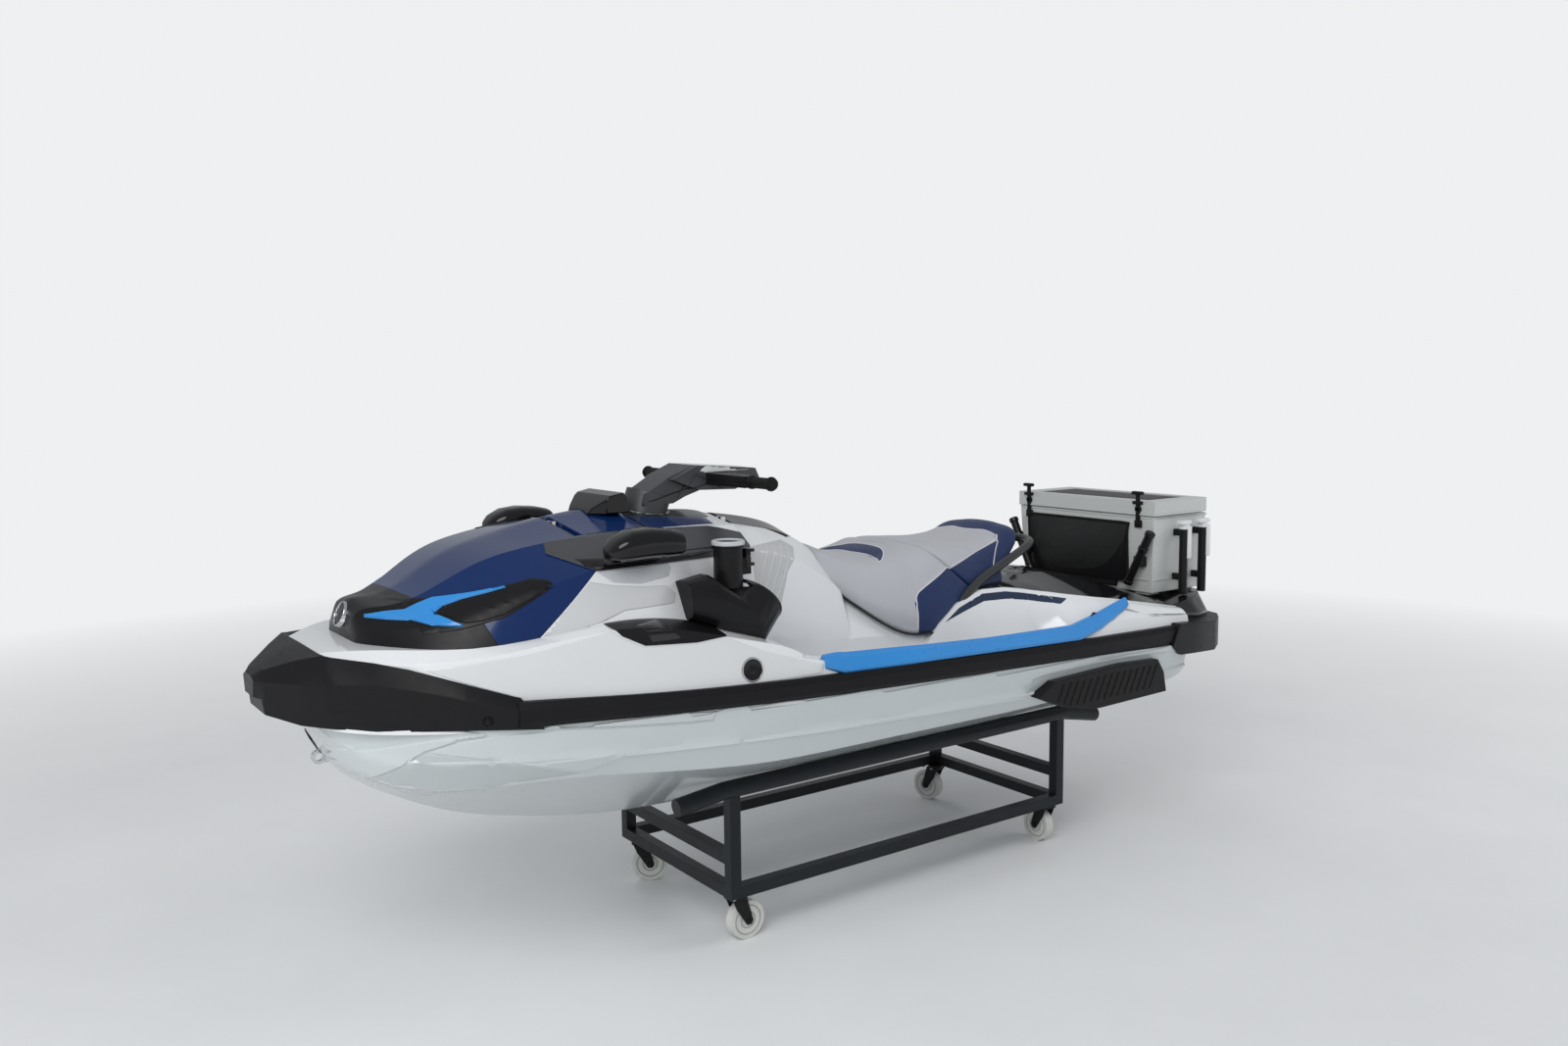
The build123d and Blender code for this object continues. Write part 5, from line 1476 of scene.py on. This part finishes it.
class WatercraftColours(bpy.types.PropertyGroup):
    deck_white: colour_property("Deck", "White gel coat of the deck", (0.74, 0.755, 0.77))
    hull_white: colour_property("Hull", "Grey-white gel coat of the hull", (0.56, 0.605, 0.615))
    # also the colour of the painted shadow under the console
    inset_grey: colour_property("Insets", "Pale grey faces let into the deck", (0.50, 0.52, 0.54))
    hood_navy: colour_property("Hood", "Navy paint of the hood and front lid", (0.004, 0.021, 0.095))
    accent_blue: colour_property("Accent", "Bright blue of the trims", (0.018, 0.235, 0.62))
    moulded_black: colour_property("Moulded black", "Textured black plastic", (0.0065, 0.0065, 0.0075))
    mat_grey: colour_property("Mats", "Foam mats of the footwells", (0.42, 0.44, 0.46))
    seat_grey: colour_property("Seat", "Light grey vinyl", (0.43, 0.44, 0.47))
    seat_navy: colour_property("Seat panels", "Navy vinyl", (0.005, 0.020, 0.085))
    cooler_grey: colour_property("Cooler", "Light grey moulded cooler", (0.56, 0.58, 0.57))
    cradle_black: colour_property("Cradle", "Blue-black painted steel", (0.008, 0.011, 0.014))


def angle_property(name, description, degrees):
    return bpy.props.FloatProperty(name=name, description=description, subtype="ANGLE",
                                   default=math.radians(degrees))


class WatercraftCamera(bpy.types.PropertyGroup):
    place: bpy.props.FloatVectorProperty(name="Place", description="Place of the camera", unit="LENGTH",
                                         subtype="TRANSLATION", size=3, default=(-2.612, -3.506, 1.749))
    azimuth: angle_property("Azimuth", "Heading of the camera from +Y, towards -X", -35.73)
    elevation: angle_property("Elevation", "Tilt of the camera above the horizon", -6.184)
    roll: angle_property("Roll", "Roll of the camera about its line of sight", -0.5776)
    lens: bpy.props.FloatProperty(name="Lens", description="Focal length on a 36 mm sensor, in mm",
                                  subtype="DISTANCE_CAMERA", default=28.65)


# Operators


class CRAFT_OT_finishes(bpy.types.Operator):
    """Make every finish and give the frame's nodes theirs"""
    bl_idname = "craft.finishes"
    bl_label = "Finishes"

    def execute(self, context):
        make_materials(context.scene.watercraft_colours)
        for (material, angle), nodes in CAD_FINISHES.items():
            for node in nodes:
                dress(NODES[node], node, material, angle)
        for kind, material in (("fork", "cowl_black"), ("wheel", "wheel_nylon")):
            for corner in CORNERS:
                node = f"caster_{kind}_{corner}"
                dress(NODES[node], node, material, SHARP)
        return {"FINISHED"}


class CRAFT_OT_seats(bpy.types.Operator):
    """Make the padded seats with their seams, navy panels and piping"""
    bl_idname = "craft.seats"
    bl_label = "Seats"

    def execute(self, context):
        make_seats()
        return {"FINISHED"}


class CRAFT_OT_faces(bpy.types.Operator):
    """Make the stepped faces and painted shapes of the hull, deck and nose"""
    bl_idname = "craft.faces"
    bl_label = "Hull and deck faces"

    def execute(self, context):
        make_faces()
        make_emblem_disc()
        make_pod_rings()
        return {"FINISHED"}


class CRAFT_OT_haunches(bpy.types.Operator):
    """Make the haunch walls, rear deck edges, gunwale trim and grab bar"""
    bl_idname = "craft.haunches"
    bl_label = "Haunches and trims"

    def execute(self, context):
        make_haunches()
        make_gunwale_trim()
        make_grab_bar()
        return {"FINISHED"}


class CRAFT_OT_helm(bpy.types.Operator):
    """Make the fittings of the steering, mirrors, gauge and cup"""
    bl_idname = "craft.helm"
    bl_label = "Helm fittings"

    def execute(self, context):
        make_helm()
        make_mirrors()
        make_cup()
        return {"FINISHED"}


class CRAFT_OT_cooler(bpy.types.Operator):
    """Make the cooler's pocket, lips, latches and rod clips"""
    bl_idname = "craft.cooler"
    bl_label = "Cooler fittings"

    def execute(self, context):
        make_pocket()
        make_lid_fittings()
        make_rod_fittings()
        make_tub_bands()
        return {"FINISHED"}


class CRAFT_OT_fastenings(bpy.types.Operator):
    """Make the bolts, badge, wheel hubs and sponson ribs"""
    bl_idname = "craft.fastenings"
    bl_label = "Fastenings"

    def execute(self, context):
        make_bumper_bolts()
        make_badge()
        make_caster_details()
        make_sponson_ribs()
        return {"FINISHED"}


class CRAFT_OT_stage(bpy.types.Operator):
    """Make the floor, the light and the camera"""
    bl_idname = "craft.stage"
    bl_label = "Stage"

    def execute(self, context):
        make_floor()
        make_light()
        make_camera(context.scene.watercraft_camera)
        return {"FINISHED"}


OPERATORS = [CRAFT_OT_finishes, CRAFT_OT_seats, CRAFT_OT_haunches, CRAFT_OT_faces, CRAFT_OT_helm,
             CRAFT_OT_cooler, CRAFT_OT_fastenings, CRAFT_OT_stage]


class CRAFT_PT_panel(bpy.types.Panel):
    """Lists the operators in the sidebar"""
    bl_label = "Watercraft"
    bl_idname = "CRAFT_PT_panel"
    bl_space_type = "VIEW_3D"
    bl_region_type = "UI"
    bl_category = "Watercraft"

    def draw(self, context):
        for operator in OPERATORS:
            self.layout.operator(operator.bl_idname)


CLASSES = [WatercraftColours, WatercraftCamera, *OPERATORS, CRAFT_PT_panel]


def register():
    for cls in CLASSES:
        bpy.utils.register_class(cls)
    bpy.types.Scene.watercraft_colours = bpy.props.PointerProperty(type=WatercraftColours)
    bpy.types.Scene.watercraft_camera = bpy.props.PointerProperty(type=WatercraftCamera)


def unregister():
    del bpy.types.Scene.watercraft_camera
    del bpy.types.Scene.watercraft_colours
    for cls in reversed(CLASSES):
        bpy.utils.unregister_class(cls)


def main():
    register()
    for operator in OPERATORS:
        group, name = operator.bl_idname.split(".")
        getattr(getattr(bpy.ops, group), name)()


if __name__ == "__main__":
    main()
